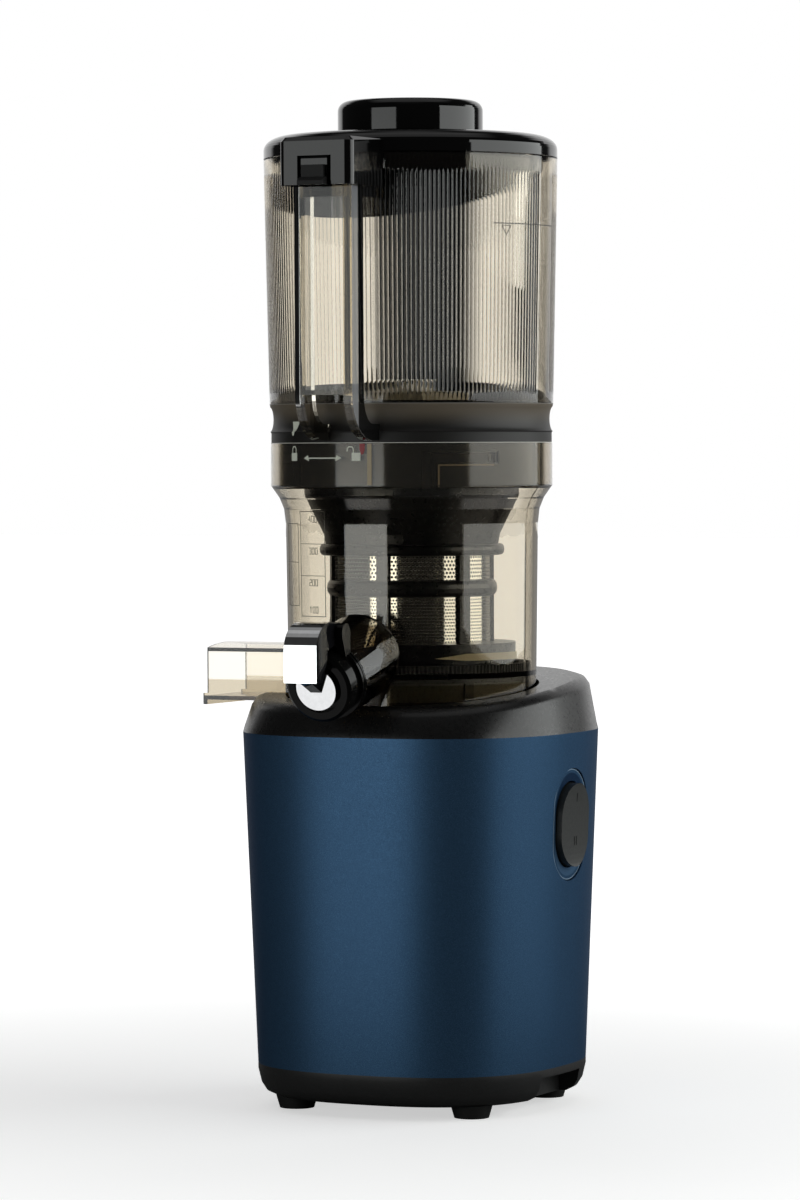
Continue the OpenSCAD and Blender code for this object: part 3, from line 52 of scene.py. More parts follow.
# Camera, as the photograph was taken
CAMERA_AZIMUTH = math.radians(25.8)
CAMERA_DISTANCE = 2.5
CAMERA_HEIGHT = 0.3265
CAMERA_PITCH = math.radians(1.691)
CAMERA_PAN = math.radians(0.14)
CAMERA_ROLL = math.radians(-0.232)
FOCAL_PIXELS = 5002.0
FRAME_PIXELS = (800, 1200)
SENSOR_HEIGHT = 36.0

# Heights and radii of the clear parts, as in the part's source
BOWL_Z, BOWL_R = 0.2010, 0.0618
BOWL_NECK_R, FLARE_Z = 0.0630, 0.2914
COLLAR_Z, COLLAR_R = 0.3094, 0.0703
HOPPER_Z, WAIST_Z, RIM_Z = 0.3313, 0.3508, 0.4723
SPIGOT_Z, SPIGOT_R = COLLAR_Z + 0.0003, 0.0665
SPIGOT_IN, SPIGOT_IN_TOP = 0.0643, HOPPER_Z + 0.0088
SKIRT_R, SKIRT_TOP = COLLAR_R - 0.0003, HOPPER_Z + 0.0049
HOPPER_LOW_R, HOPPER_R, HOPPER_WALL = 0.0708, 0.0733, 0.0024
HOLLOW_DEEP, HOLLOW_HALF, HOLLOW_Z = 0.0019, 0.00624, 0.0117
RIM_EDGE = 0.0004
SCREEN_R = 0.0390

# Flutes round the hopper, in two fields: the first angle, the last angle and the depth of each
FLUTE_STEP, FLUTE_START = 1.8, 4.5
FLUTE_FIELDS = ((4.5, 85.5, 0.0005), (99.0, 337.0, 0.0002))
FLUTE_LOW, FLUTE_HIGH = 0.3550, 0.4645
FLUTE_EASE = 0.003
COLUMNS = 1200

# Bayonet grooves of the hopper's spigot: an upright leg and then a level run, three times round
GROOVE_TURNS = (30.0, 150.0, 270.0)
GROOVE_SPAN, GROOVE_LEG = 35.0, 6.0
GROOVE_LOW, GROOVE_HIGH = 0.3209, 0.3269
GROOVE_DEEP = 0.0012

# Borders between looks of one piece; those of the spout, the foot and the waist are the edges of painted shade
# and sheen
SPOUT_AHEAD, SPOUT_TOP = 0.0650, 0.2425
FOOT_TOP = 0.2124
WAIST_FADE = (0.3385, 0.3490)
COARSE_HOLES_Z = 0.2592
LATCH_PAD_AHEAD = 0.1068

# Handle: borders of its painted lines and bands, ahead of the drive axis, and to the right of it
HANDLE_FACE, HANDLE_BEND, HANDLE_BACK = 0.0964, 0.0910, 0.0870
HANDLE_LEFT, HANDLE_INNER, HANDLE_BROWN, HANDLE_RIGHT = -0.0130, -0.01005, 0.0106, 0.01535

# Painted shade on the flutes right of the handle: fades at both sides and the low edge, and where they run on
# below it
SHADE_FIELD_LEFT, SHADE_FIELD_RIGHT = (9.5, 14.0), (57.0, 45.0)
SHADE_FIELD_LOW, SHADE_FIELD_TAIL = (0.3602, 0.3622), (33.0, 36.0)

# Obround outline of the switch's bezel, with the radii of its dish, its painted highlight line and its edge,
# beyond which a painted shadow lies
BEZEL_Y, BEZEL_Z = 0.02475, 0.1421
BEZEL_STRAIGHT = 0.00815
BEZEL_DISH_R, BEZEL_HIGHLIGHT_R, BEZEL_EDGE_R = 0.0174, 0.0191, 0.01945

# Room, in degrees from the front towards +X
BACKDROP, BACKDROP_HALF = 206.0, 41.0
LEFT_SIDE, RIGHT_SIDE = -17.0, 110.5
DARKEST = 0.03

# Fades of the room upwards, as the sine of the angle over the horizon
BACKDROP_TOP = (0.45, 0.62)
CEILING_EDGE, CEILING = (0.76, 0.92), 0.4

# Bright patches of the floor that only reflections show: direction, half width, soft edge and strength
FLOOR_GLOWS = ((LEFT_SIDE, 21.0, 3.0, 0.95), (108.0, 34.0, 4.0, 0.7))

# Light boxes: name, direction, distance, height, size across and up, and radiance
LIGHT_BOXES = (
    ("left_box_low", LEFT_SIDE, 1.5, 0.155, (1.12, 0.29), 2.9),
    ("left_box", LEFT_SIDE, 1.5, 0.465, (1.12, 0.33), 1.7),
    ("right_box_low", RIGHT_SIDE, 1.4, 0.24, (2.15, 0.20), 1.9),
    ("right_box", RIGHT_SIDE, 1.4, 0.72, (2.15, 0.76), 2.6),
)
LIGHT_COLOR = (0.97, 1.0, 0.985)

# Strength of the room and of the boxes where they are seen straight through the clear parts
ROOM_BEHIND_CLEAR, BOX_BEHIND_CLEAR = 0.5, 0.35


def make_camera():
    """A camera at the photograph's viewing angle, aimed a little below the horizon."""
    data = bpy.data.cameras.new("camera")
    camera = bpy.data.objects.new("camera", data)
    bpy.context.scene.collection.objects.link(camera)
    data.sensor_fit = "VERTICAL"
    data.sensor_height = SENSOR_HEIGHT
    data.lens = FOCAL_PIXELS / FRAME_PIXELS[1] * SENSOR_HEIGHT
    data.clip_end = 50.0
    turn = Matrix.Rotation(CAMERA_AZIMUTH + CAMERA_PAN, 4, "Z")
    pitch = Matrix.Rotation(math.pi / 2 - CAMERA_PITCH, 4, "X")
    roll = Matrix.Rotation(CAMERA_ROLL, 4, "Z")
    place = AXIS + Vector((
        math.sin(CAMERA_AZIMUTH) * CAMERA_DISTANCE,
        -math.cos(CAMERA_AZIMUTH) * CAMERA_DISTANCE,
        CAMERA_HEIGHT,
    ))
    camera.matrix_world = Matrix.Translation(place) @ turn @ pitch @ roll
    bpy.context.scene.camera = camera


# Node trees
class Tree:
    """Short ways to add and join the nodes of a material or world."""

    def __init__(self, tree):
        self.nodes = tree.nodes
        self.links = tree.links

    def add(self, kind, **values):
        node = self.nodes.new(kind)
        for key, value in values.items():
            setattr(node, key, value)
        return node

    def join(self, source, target):
        self.links.new(source, target)

    def feed(self, socket, value):
        if isinstance(value, (int, float)):
            socket.default_value = value
        elif isinstance(value, tuple):
            socket.default_value = (*value, 1.0) if len(value) == 3 else value
        else:
            self.join(value, socket)

    def math(self, operation, a, b=0.0):
        node = self.add("ShaderNodeMath", operation=operation)
        self.feed(node.inputs[0], a)
        self.feed(node.inputs[1], b)
        return node.outputs[0]

    def ramp(self, source, low, high, start=0.0, end=1.0, smooth=False):
        node = self.add("ShaderNodeMapRange", interpolation_type="SMOOTHSTEP" if smooth else "LINEAR")
        for socket, value in zip(("From Min", "From Max", "To Min", "To Max"), (low, high, start, end)):
            node.inputs[socket].default_value = value
        self.join(source, node.inputs["Value"])
        return node.outputs["Result"]

    def mix_color(self, factor, a, b):
        node = self.add("ShaderNodeMix", data_type="RGBA")
        self.feed(node.inputs["Factor"], factor)
        self.feed(node.inputs["A"], a)
        self.feed(node.inputs["B"], b)
        return node.outputs["Result"]

    def mix_shader(self, factor, a, b):
        node = self.add("ShaderNodeMixShader")
        self.feed(node.inputs["Fac"], factor)
        self.join(a, node.inputs[1])
        self.join(b, node.inputs[2])
        return node.outputs[0]

    def split(self, vector):
        node = self.add("ShaderNodeSeparateXYZ")
        self.join(vector, node.inputs[0])
        return node.outputs

    def around(self, vector, centre=(0.0, 0.0)):
        """Angle in degrees from the front towards +X, and the distance from an upright axis."""
        x, y, z = self.split(vector)
        right = self.math("SUBTRACT", x, centre[0])
        ahead = self.math("SUBTRACT", centre[1], y)
        angle = self.math("MULTIPLY", self.math("ARCTAN2", right, ahead), 180.0 / math.pi)
        square = self.math("ADD", self.math("MULTIPLY", right, right), self.math("MULTIPLY", ahead, ahead))
        return angle, self.math("SQRT", square), z

    def past(self, source, border, soft, start=0.0, end=1.0):
        """From start to end over a border. A negative soft width turns it round."""
        return self.ramp(source, border - soft, border + soft, start, end)

    def band(self, source, low, high, soft):
        """1 between two values, 0 outside them, with soft ends."""
        up = self.ramp(source, low - soft, low + soft, smooth=True)
        down = self.ramp(source, high - soft, high + soft, 1.0, 0.0, smooth=True)
        return self.math("MULTIPLY", up, down)


class Shader(Tree):
    """A material with its Principled BSDF."""

    def __init__(self, name, color, roughness=0.5, metallic=0.0, **sockets):
        self.material = bpy.data.materials.new(name)
        self.material.use_nodes = True
        super().__init__(self.material.node_tree)
        self.surface = self.nodes["Principled BSDF"]
        self.output = self.nodes["Material Output"]
        self.set("Base Color", color)
        self.set("Roughness", roughness)
        self.set("Metallic", metallic)
        for socket, value in sockets.items():
            self.set(socket.replace("_", " "), value)
        self.points = self.add("ShaderNodeTexCoord").outputs["Object"]

    def set(self, socket, value):
        self.feed(self.surface.inputs[socket], value)

    def noise(self, scale, detail=2.0):
        node = self.add("ShaderNodeTexNoise")
        node.inputs["Scale"].default_value = scale
        node.inputs["Detail"].default_value = detail
        self.join(self.points, node.inputs["Vector"])
        return node.outputs["Fac"]

    def cells(self, scale):
        node = self.add("ShaderNodeTexVoronoi")
        node.inputs["Scale"].default_value = scale
        self.join(self.points, node.inputs["Vector"])
        return node

    def tint(self, source, dark, light, low=0.3, high=0.7):
        """Base colour between two colours, by a grey source."""
        self.set("Base Color", self.mix_color(self.ramp(source, low, high), dark, light))

    def rough(self, source, start, end):
        self.set("Roughness", self.ramp(source, 0.3, 0.7, start, end))

    def bump(self, source, height, strength):
        node = self.add("ShaderNodeBump")
        node.inputs["Strength"].default_value = strength
        node.inputs["Distance"].default_value = height
        self.join(source, node.inputs["Height"])
        self.set("Normal", node.outputs["Normal"])

    def soak(self, color, density):
        node = self.add("ShaderNodeVolumeAbsorption")
        node.inputs["Color"].default_value = (*color, 1.0)
        node.inputs["Density"].default_value = density
        self.join(node.outputs["Volume"], self.output.inputs["Volume"])


def shade(*srgb):
    """Linear values of an sRGB colour given as 0 to 255."""
    return tuple(v / 3294.6 if v <= 10.3 else ((v / 255.0 + 0.055) / 1.055) ** 2.4 for v in srgb)


def scaled(color, factor):
    return tuple(v * factor for v in color)


# Materials
def navy(name):
    """Satin navy paint with a fine metallic sparkle. Gives the shader, so that more can be added."""
    made = Shader(name, shade(52, 84, 116), 0.4, 0.6,
                  Specular_IOR_Level=0.15, Specular_Tint=(0.14, 0.17, 0.22))
    flakes = made.cells(3600.0)
    made.tint(flakes.outputs["Distance"], shade(45, 71, 98), shade(66, 98, 130), 0.15, 0.75)
    made.rough(made.noise(700.0), 0.36, 0.44)
    made.bump(made.noise(2400.0, 1.0), 0.00003, 0.3)
    return made


def bezel_navy():
    """The same paint on the switch's surround, with painted shade on the dish round the rocker, lighter below and
    darker above, a painted highlight line inside its edge, and a painted shadow in the groove beyond it.
    """
    made = navy("bezel_navy")
    _, y, z = made.split(made.points)
    up = made.math("SUBTRACT", z, BEZEL_Z)
    beyond = made.math("MAXIMUM", made.math("SUBTRACT", made.math("ABSOLUTE", up), BEZEL_STRAIGHT), 0.0)
    across = made.math("SUBTRACT", y, BEZEL_Y)
    edge = made.math("SQRT", made.math("ADD", made.math("MULTIPLY", beyond, beyond),
                                       made.math("MULTIPLY", across, across)))
    paint = made.surface.inputs["Base Color"].links[0].from_socket
    # Painted shade on the dish round the rocker: lighter below its middle, darker above it
    dish = made.mix_color(made.past(up, 0.0, 0.004), shade(84, 116, 148), shade(22, 46, 74))
    color = made.mix_color(made.past(edge, BEZEL_DISH_R, -0.0002, 0.0, 0.8), paint, dish)
    # A painted highlight line inside the bezel's edge, and a painted shadow in the groove beyond the edge
    line = made.band(edge, BEZEL_HIGHLIGHT_R - 0.0002, BEZEL_HIGHLIGHT_R + 0.0002, 0.0001)
    color = made.mix_color(line, color, shade(160, 184, 206))
    rim = made.past(edge, BEZEL_EDGE_R, 0.00005)
    made.set("Base Color", made.mix_color(rim, color, shade(6, 14, 24)))
    return made.material


def grained_plastic(name, color, roughness):
    made = Shader(name, color, roughness)
    fine = made.noise(1500.0, 3.0)
    made.tint(fine, scaled(color, 0.8), scaled(color, 1.25))
    made.rough(made.noise(600.0), roughness - 0.04, roughness + 0.04)
    made.bump(fine, 0.00004, 0.4)
    return made.material


def gloss_plastic(name, color, roughness=0.06, shine=0.5):
    made = Shader(name, color, roughness, Specular_IOR_Level=shine)
    slow = made.noise(14.0)
    made.tint(slow, scaled(color, 0.85), scaled(color, 1.15))
    made.rough(made.noise(60.0), roughness - 0.02, roughness + 0.02)
    made.bump(slow, 0.0002, 0.03)
    return made.material


def metal(name, color, roughness):
    made = Shader(name, color, roughness, 1.0)
    fine = made.noise(400.0)
    made.tint(fine, scaled(color, 0.93), color)
    made.rough(fine, max(0.02, roughness - 0.03), roughness + 0.04)
    made.bump(fine, 0.00001, 0.15)
    return made.material


def rubber(name, color):
    made = Shader(name, color, 0.7)
    fine = made.noise(2200.0, 3.0)
    made.tint(fine, scaled(color, 0.8), scaled(color, 1.25))
    made.bump(fine, 0.00008, 0.5)
    return made.material


def gasket_rubber():
    """Silicone with a knurled rim, painted darker in the knurl's grooves and lighter on its ridges as painted
    shade and highlight.
    """
    made = Shader("gasket_rubber", shade(22, 21, 20), 0.5)
    angle, _, _ = made.around(made.points, AXIS)
    waves = made.math("SINE", made.math("MULTIPLY", angle, math.radians(180.0)))
    # Painted shade and highlight following the knurl: dark in its grooves, light on its ridges
    made.tint(waves, shade(10, 10, 10), shade(44, 42, 38), -0.6, 0.9)
    made.bump(waves, 0.0006, 0.8)
    return made.material


CLEAR = (0.98, 0.97, 0.95)
CLEAR_DULL = (0.955, 0.945, 0.92)
SMOKE = (0.68, 0.61, 0.46)


def clear_smoke(name, density):
    """Smoke-tinted clear plastic with a faint drift in its tint."""
    made = Shader(name, CLEAR, 0.0, Transmission_Weight=1.0, IOR=1.47)
    made.tint(made.noise(9.0), CLEAR_DULL, CLEAR)
    made.soak(SMOKE, density)
    return made


def bowl_clear():
    """Clear wall, with painted shade darkening the spout and the foot, and slightly satin on the collar."""
    made = clear_smoke("clear_bowl", 230.0)
    _, y, z = made.split(made.points)
    frost = made.past(z, COLLAR_Z, 0.0006)
    ahead = made.math("SUBTRACT", AXIS.y, y)
    spout = made.math("MULTIPLY", made.past(ahead, SPOUT_AHEAD, 0.001), made.past(z, SPOUT_TOP, -0.0005))
    foot = made.past(z, FOOT_TOP, -0.0004)
    color = made.mix_color(made.ramp(made.noise(9.0), 0.3, 0.7), CLEAR_DULL, CLEAR)
    # Painted shade: the spout tube and the foot of the bowl darker
    color = made.mix_color(spout, color, (0.34, 0.29, 0.22))
    color = made.mix_color(foot, color, (0.62, 0.56, 0.45))
    made.set("Base Color", made.mix_color(frost, color, (0.96, 0.93, 0.87)))
    made.set("Roughness", made.math("MULTIPLY", frost, 0.09))
    made.set("Transmission Weight", made.ramp(frost, 0.0, 1.0, 1.0, 0.985))
    return made.material


def hopper_clear():
    """Clear with painted shade in its flutes, a dark line in each and a darker field right of the handle, and
    satin on its waist with a brown painted sheen that fades to dark at the bottom.
    """
    made = clear_smoke("clear_hopper", 215.0)
    angle, far, z = made.around(made.points, AXIS)
    across = made.math("DIVIDE", made.math("SUBTRACT", angle, FLUTE_START), FLUTE_STEP)
    phase = made.math("FRACT", made.math("ADD", across, 400.0))

    # Painted shade: a dark line in each flute, faint round the back and full beside the handle
    flute_shade_line = made.ramp(made.math("ABSOLUTE", made.math("SUBTRACT", phase, 0.5)), 0.36, 0.46, smooth=True)
    turned = made.math("ABSOLUTE", angle)
    depth = made.math("ADD", made.ramp(turned, 80.0, 95.0, 0.42, 0.06), made.band(angle, 0.0, 10.5, 1.5))
    light = made.math("SUBTRACT", 1.0, made.math("MULTIPLY", flute_shade_line, depth))

    # Painted shade over a field of flutes right of the handle: each flute runs from dark to lighter, and least so
    # in the middle of the field
    field_shade = made.math("MULTIPLY", made.ramp(angle, *SHADE_FIELD_LEFT, smooth=True),
                    made.ramp(angle, *SHADE_FIELD_RIGHT, smooth=True))
    tail = made.ramp(angle, *SHADE_FIELD_TAIL)
    field_shade = made.math("MULTIPLY", field_shade, made.math("MAXIMUM", made.ramp(z, *SHADE_FIELD_LOW), tail))
    peak = made.math("SUBTRACT", 0.8, made.math("MULTIPLY", made.band(angle, 19.0, 44.0, 8.0), 0.6))
    saw_shade = made.math("MULTIPLY", made.math("POWER", phase, 3.5), peak)

    # Both show only on the outer face, between the ends of the flutes
    fluted = made.band(z, FLUTE_LOW + 0.0008, FLUTE_HIGH - 0.0008, 0.0008)
    wall = made.ramp(z, WAIST_Z, RIM_Z, HOPPER_LOW_R, HOPPER_R)
    outside = made.math("GREATER_THAN", far, made.math("SUBTRACT", wall, 0.0014))
    lines = made.math("ADD", made.math("MULTIPLY", light, made.math("SUBTRACT", 1.0, field_shade)),
                      made.math("MULTIPLY", saw_shade, field_shade))
    lines = made.math("ADD", made.math("MULTIPLY", lines, fluted), made.math("SUBTRACT", 1.0, fluted))
    square = made.math("MULTIPLY", lines, lines)
    clear = made.math("ADD", made.math("MULTIPLY", square, outside), made.math("SUBTRACT", 1.0, outside))

    # A satin waist, with a painted sheen: brown towards its top and dark towards its bottom
    frost = made.ramp(z, WAIST_Z + 0.0002, WAIST_Z - 0.0006)
    satin = made.mix_color(made.ramp(z, *WAIST_FADE, smooth=True), (0.008, 0.007, 0.006), (0.17, 0.14, 0.10))
    made.set("Base Color", made.mix_color(frost, made.mix_color(clear, (0.0, 0.0, 0.0), CLEAR), satin))
    waist = made.band(z, HOPPER_Z, WAIST_Z - 0.0003, 0.0003)
    made.set("Transmission Weight", made.math("SUBTRACT", 1.0, made.math("MULTIPLY", waist, 0.75)))
    made.set("Roughness", made.math("MULTIPLY", frost, 0.5))
    return made.material


def handle_clear():
    """A light window between ribs, with painted shade and light on the ribs: dark lines on them, a darker back
    part of the left rib, and brown and grey bands on the right rib.
    """
    made = clear_smoke("clear_handle", 45.0)
    x, y, _ = made.split(made.points)
    right = made.math("SUBTRACT", x, AXIS.x)
    ahead = made.math("SUBTRACT", AXIS.y, y)
    face = made.past(ahead, HANDLE_FACE, 0.0002)
    left_shade_line = made.math("MULTIPLY", made.past(right, HANDLE_LEFT, -0.0002), face)
    brown_light_band = made.math("MULTIPLY", made.past(right, HANDLE_BROWN, 0.0002), face)
    side = made.past(right, HANDLE_RIGHT, 0.00015)
    right_shade_line = made.math("MULTIPLY", side, made.past(ahead, HANDLE_BEND, -0.0005))
    grey_light_band = made.math("MULTIPLY", side, made.past(ahead, HANDLE_BEND, 0.0005))
    corner_shade = made.math("MULTIPLY", made.past(right, HANDLE_INNER, -0.00025),
                       made.past(ahead, HANDLE_BACK, -0.0005))
    # Painted shade on the back part of the left rib, and painted light in brown and grey bands on the right rib
    color = made.mix_color(corner_shade, CLEAR, (0.35, 0.33, 0.28))
    color = made.mix_color(brown_light_band, color, (0.50, 0.40, 0.24))
    color = made.mix_color(grey_light_band, color, (0.42, 0.43, 0.45))
    # Dark painted shade lines on both ribs
    lines = made.math("MAXIMUM", left_shade_line, right_shade_line)
    made.set("Base Color", made.mix_color(lines, color, (0.004, 0.004, 0.004)))
    made.set("Metallic", left_shade_line)
    solid = made.math("MAXIMUM", lines, made.math("MULTIPLY", grey_light_band, 0.6))
    made.set("Transmission Weight", made.math("SUBTRACT", 1.0, solid))
    return made.material


def perforated_steel():
    """Bright sheet with two sizes of round holes in staggered rows, painted on a sheet that has none."""
    made = Shader("perforated_steel", (0.72, 0.72, 0.71), 0.22, 1.0)
    angle, _, z = made.around(made.points, AXIS)
    run = made.math("MULTIPLY", angle, math.radians(1.0) * SCREEN_R)

    def holes(wide, high, radius):
        """Holes at a pitch across and up, and the lit part of each one's lower edge."""
        across = made.math("DIVIDE", run, wide)
        rows = made.math("DIVIDE", z, high)
        shift = made.math("MULTIPLY", made.math("FLOORED_MODULO", made.math("FLOOR", rows), 2.0), 0.5)
        across = made.math("ADD", made.math("ADD", across, shift), 500.0)
        u = made.math("SUBTRACT", made.math("FRACT", across), 0.5)
        v = made.math("SUBTRACT", made.math("FRACT", rows), 0.5)
        u, v = made.math("MULTIPLY", u, wide), made.math("MULTIPLY", v, high)
        far = made.math("SQRT", made.math("ADD", made.math("MULTIPLY", u, u), made.math("MULTIPLY", v, v)))
        hole = made.ramp(far, radius * 0.9, radius * 1.1, 1.0, 0.0)
        return hole, made.math("MULTIPLY", hole, made.ramp(v, -radius * 0.15, -radius * 0.35))

    upper = made.math("GREATER_THAN", z, COARSE_HOLES_Z)
    lower = made.math("SUBTRACT", 1.0, upper)
    coarse, coarse_lip = holes(0.0019, 0.0019, 0.0006)
    fine, fine_lip = holes(0.0015, 0.0016, 0.00046)
    open_part = made.math("ADD", made.math("MULTIPLY", coarse, upper), made.math("MULTIPLY", fine, lower))
    lip = made.math("ADD", made.math("MULTIPLY", coarse_lip, upper), made.math("MULTIPLY", fine_lip, lower))
    inside = made.mix_color(lip, (0.008, 0.008, 0.008), (0.24, 0.24, 0.22))
    made.set("Base Color", made.mix_color(open_part, (0.80, 0.78, 0.72), inside))
    made.set("Metallic", made.math("SUBTRACT", 1.0, open_part))
    made.set("Roughness", made.ramp(open_part, 0.0, 1.0, 0.09, 0.9))
    return made.material


def chrome_lever():
    """Chrome plating over a lever with black sides."""
    made = Shader("chrome_lever", (0.88, 0.89, 0.90), 0.03, 1.0, Specular_IOR_Level=0.1)
    sideways = made.split(made.add("ShaderNodeNewGeometry").outputs["Normal"])[0]
    side = made.ramp(made.math("ABSOLUTE", sideways), 0.9, 0.96)
    chrome = made.mix_color(made.ramp(made.noise(400.0), 0.3, 0.7), (0.82, 0.83, 0.84), (0.88, 0.89, 0.90))
    made.set("Base Color", made.mix_color(side, chrome, (0.006, 0.006, 0.007)))
    made.set("Metallic", made.math("SUBTRACT", 1.0, side))
    made.set("Roughness", made.ramp(side, 0.0, 1.0, 0.03, 0.06))
    return made.material


def latch_black():
    """Gloss black with a rough thumb pad."""
    made = Shader("latch_black", shade(6, 6, 6), 0.06)
    ahead = made.math("SUBTRACT", AXIS.y, made.split(made.points)[1])
    made.set("Roughness", made.past(ahead, LATCH_PAD_AHEAD, 0.0001, 0.06, 0.65))
    made.tint(made.noise(300.0), shade(4, 4, 4), shade(8, 8, 8))
    return made.material


def print_ink(name, color):
    made = Shader(name, color, 0.45)
    fine = made.noise(1800.0)
    made.tint(fine, scaled(color, 0.9), color)
    return made.material


def dress(material, *names):
    """Puts a material on carried-over CAD nodes."""
    for name in names:
        slots = NODES[name].data.materials
        if len(slots):
            for i in range(len(slots)):
                slots[i] = material
        else:
            slots.append(material)


def dress_nodes():
    dress(navy("paint_navy").material, "base_shell")
    dress(bezel_navy(), "switch_bezel")
    dress(grained_plastic("cover_black", shade(17, 17, 17), 0.3), "top_cover")
    dress(grained_plastic("pan_black", shade(36, 36, 36), 0.42), "bottom_pan")
    dress(grained_plastic("switch_grey", shade(40, 43, 42), 0.4), "switch_rocker")
    dress(grained_plastic("inner_black", shade(16, 16, 16), 0.3),
          "switch_body", "feed_funnel", "strainer_frame", "hinge_bracket")
    dress(grained_plastic("foot_grey", shade(70, 69, 63), 0.3), "bowl_foot_ring")
    dress(gloss_plastic("ring_black", shade(11, 11, 11), 0.1, 0.1), "spout_ring", "lever_pin")
    dress(gloss_plastic("lid_black", shade(8, 8, 8)), "lid", "lid_knob", "lid_skirt", "latch_box")
    dress(latch_black(), "lid_latch")
    dress(rubber("foot_rubber", shade(15, 15, 15)), "rubber_feet", "cord_gland", "gearbox_mounts")
    dress(rubber("seal_silicone", shade(30, 29, 27)), "cap_seal", "shaft_seal")
    dress(gasket_rubber(), "bowl_gasket")
    dress(chrome_lever(), "cap_lever")
    dress(metal("chrome", (0.88, 0.89, 0.90), 0.03), "cap_plug")
    dress(metal("steel", (0.62, 0.62, 0.63), 0.24),
          "pan_screws", "motor_bolts", "motor_bearings", "layshaft_pin", "drive_shaft", "auger_hub", "hinge_pin")
    dress(perforated_steel(), "strainer_screen")
    dress(metal("cast_alloy", (0.6, 0.61, 0.62), 0.5), "gearbox_case", "gearbox_lid", "motor_bracket")
    dress(metal("motor_iron", (0.25, 0.25, 0.26), 0.5), "motor_stator", "motor_rotor")
    dress(metal("copper", (0.72, 0.36, 0.18), 0.35), "motor_windings")
    dress(metal("bronze", (0.6, 0.45, 0.25), 0.4), "output_bearing")
    dress(grained_plastic("gear_plastic", shade(214, 208, 190), 0.5),
          "motor_fan", "layshaft_gear", "output_gear", "auger_bush")
    dress(grained_plastic("board_green", shade(24, 84, 50), 0.4), "control_board")
    dress(grained_plastic("auger_dark", shade(30, 28, 25), 0.32), "auger")
    dress(grained_plastic("blade_pale", shade(222, 208, 180), 0.4), "feed_blade")
    dress(bowl_clear(), "juice_bowl")
    dress(handle_clear(), "hopper_handle")


WELD_REACH = 0.00001


def modify(node, kind, **values):
    made = NODES[node].modifiers.new(kind.lower(), kind)
    for key, value in values.items():
        setattr(made, key, value)


def smooth_nodes():
    """Even shading over the small faces of the housing, and broken edges on the latch box."""
    for name in ("base_shell", "top_cover", "bottom_pan", "switch_bezel"):
        faces = NODES[name].data.polygons
        faces.foreach_set("use_smooth", [True] * len(faces))
        modify(name, "WELD", merge_threshold=WELD_REACH)
        modify(name, "EDGE_SPLIT", split_angle=math.radians(40.0))
        modify(name, "WEIGHTED_NORMAL", keep_sharp=True)
    modify("latch_box", "WELD", merge_threshold=WELD_REACH)
    modify("latch_box", "BEVEL", width=0.0006, segments=3, angle_limit=math.radians(50.0), harden_normals=True)


def smooth(mesh):
    mesh.polygons.foreach_set("use_smooth", [True] * len(mesh.polygons))
    mesh.set_sharp_from_angle(angle=math.radians(32.0))


# Pieces made here
def point(angle, radius, z):
    """Place at an angle in degrees from the front towards +X, round the drive axis."""
    turn = math.radians(angle)
    return Vector((AXIS.x + radius * math.sin(turn), AXIS.y - radius * math.cos(turn), z))


def finish_piece(name, bm, material, body):
    bmesh.ops.recalc_face_normals(bm, faces=bm.faces[:])
    mesh = bpy.data.meshes.new(name)
    bm.to_mesh(mesh)
    bm.free()
    mesh.materials.append(material)
    smooth(mesh)
    piece = bpy.data.objects.new(name, mesh)
    bpy.context.scene.collection.objects.link(piece)
    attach(piece, body)
    return piece


def flute_depth(angle, z):
    turn = angle % 360.0
    inside = min(z - FLUTE_LOW, FLUTE_HIGH - z)
    if inside <= 0.0:
        return 0.0
    for low, high, deep in FLUTE_FIELDS:
        if low <= turn <= high:
            ease = min(1.0, inside / FLUTE_EASE) ** 0.5
            phase = (turn - FLUTE_START) / FLUTE_STEP
            return deep * ease * (1.0 - abs(math.sin(math.pi * phase)))
    return 0.0


def groove_depth(angle, z):
    for start in GROOVE_TURNS:
        turn = (angle - start) % 360.0
        if turn <= GROOVE_SPAN and GROOVE_LOW <= z <= GROOVE_HIGH:
            return GROOVE_DEEP
        if turn <= GROOVE_LEG and z < GROOVE_HIGH:
            return GROOVE_DEEP
    return 0.0


def hopper_rows():
    """Radius and height of the hopper's outline, first up the outside and then down the inside."""
    tiny = 0.00005
    rows = [(SPIGOT_R, z) for z in (SPIGOT_Z, GROOVE_LOW - tiny, GROOVE_LOW + tiny,
                                    GROOVE_HIGH - tiny, GROOVE_HIGH + tiny, HOPPER_Z)]
    rows += [(SKIRT_R, HOPPER_Z), (SKIRT_R, SKIRT_TOP)]
    for i in range(9):
        turn = math.radians(260.0 - 20.0 * i)
        rows.append((HOPPER_LOW_R + HOLLOW_DEEP * math.cos(turn),
                     HOPPER_Z + HOLLOW_Z + HOLLOW_HALF * math.sin(turn)))
    rows.append((HOPPER_LOW_R, WAIST_Z))
    ends = (0.0, 0.0003, 0.0008, 0.0015, FLUTE_EASE)
    steps = [FLUTE_LOW + d for d in ends]
    steps += [FLUTE_LOW + (FLUTE_HIGH - FLUTE_LOW) * i / 6 for i in range(1, 6)]
    steps += [FLUTE_HIGH - d for d in reversed(ends)] + [RIM_Z - RIM_EDGE]
    rise = (HOPPER_R - HOPPER_LOW_R) / (RIM_Z - WAIST_Z)
    rows += [(HOPPER_LOW_R + (z - WAIST_Z) * rise, z) for z in steps]
    rows.append((HOPPER_R - RIM_EDGE, RIM_Z))
    inner = [(HOPPER_R - HOPPER_WALL, RIM_Z), (HOPPER_LOW_R - HOPPER_WALL, WAIST_Z),
             (SPIGOT_IN, SPIGOT_IN_TOP), (SPIGOT_IN, SPIGOT_Z)]
    return rows, inner


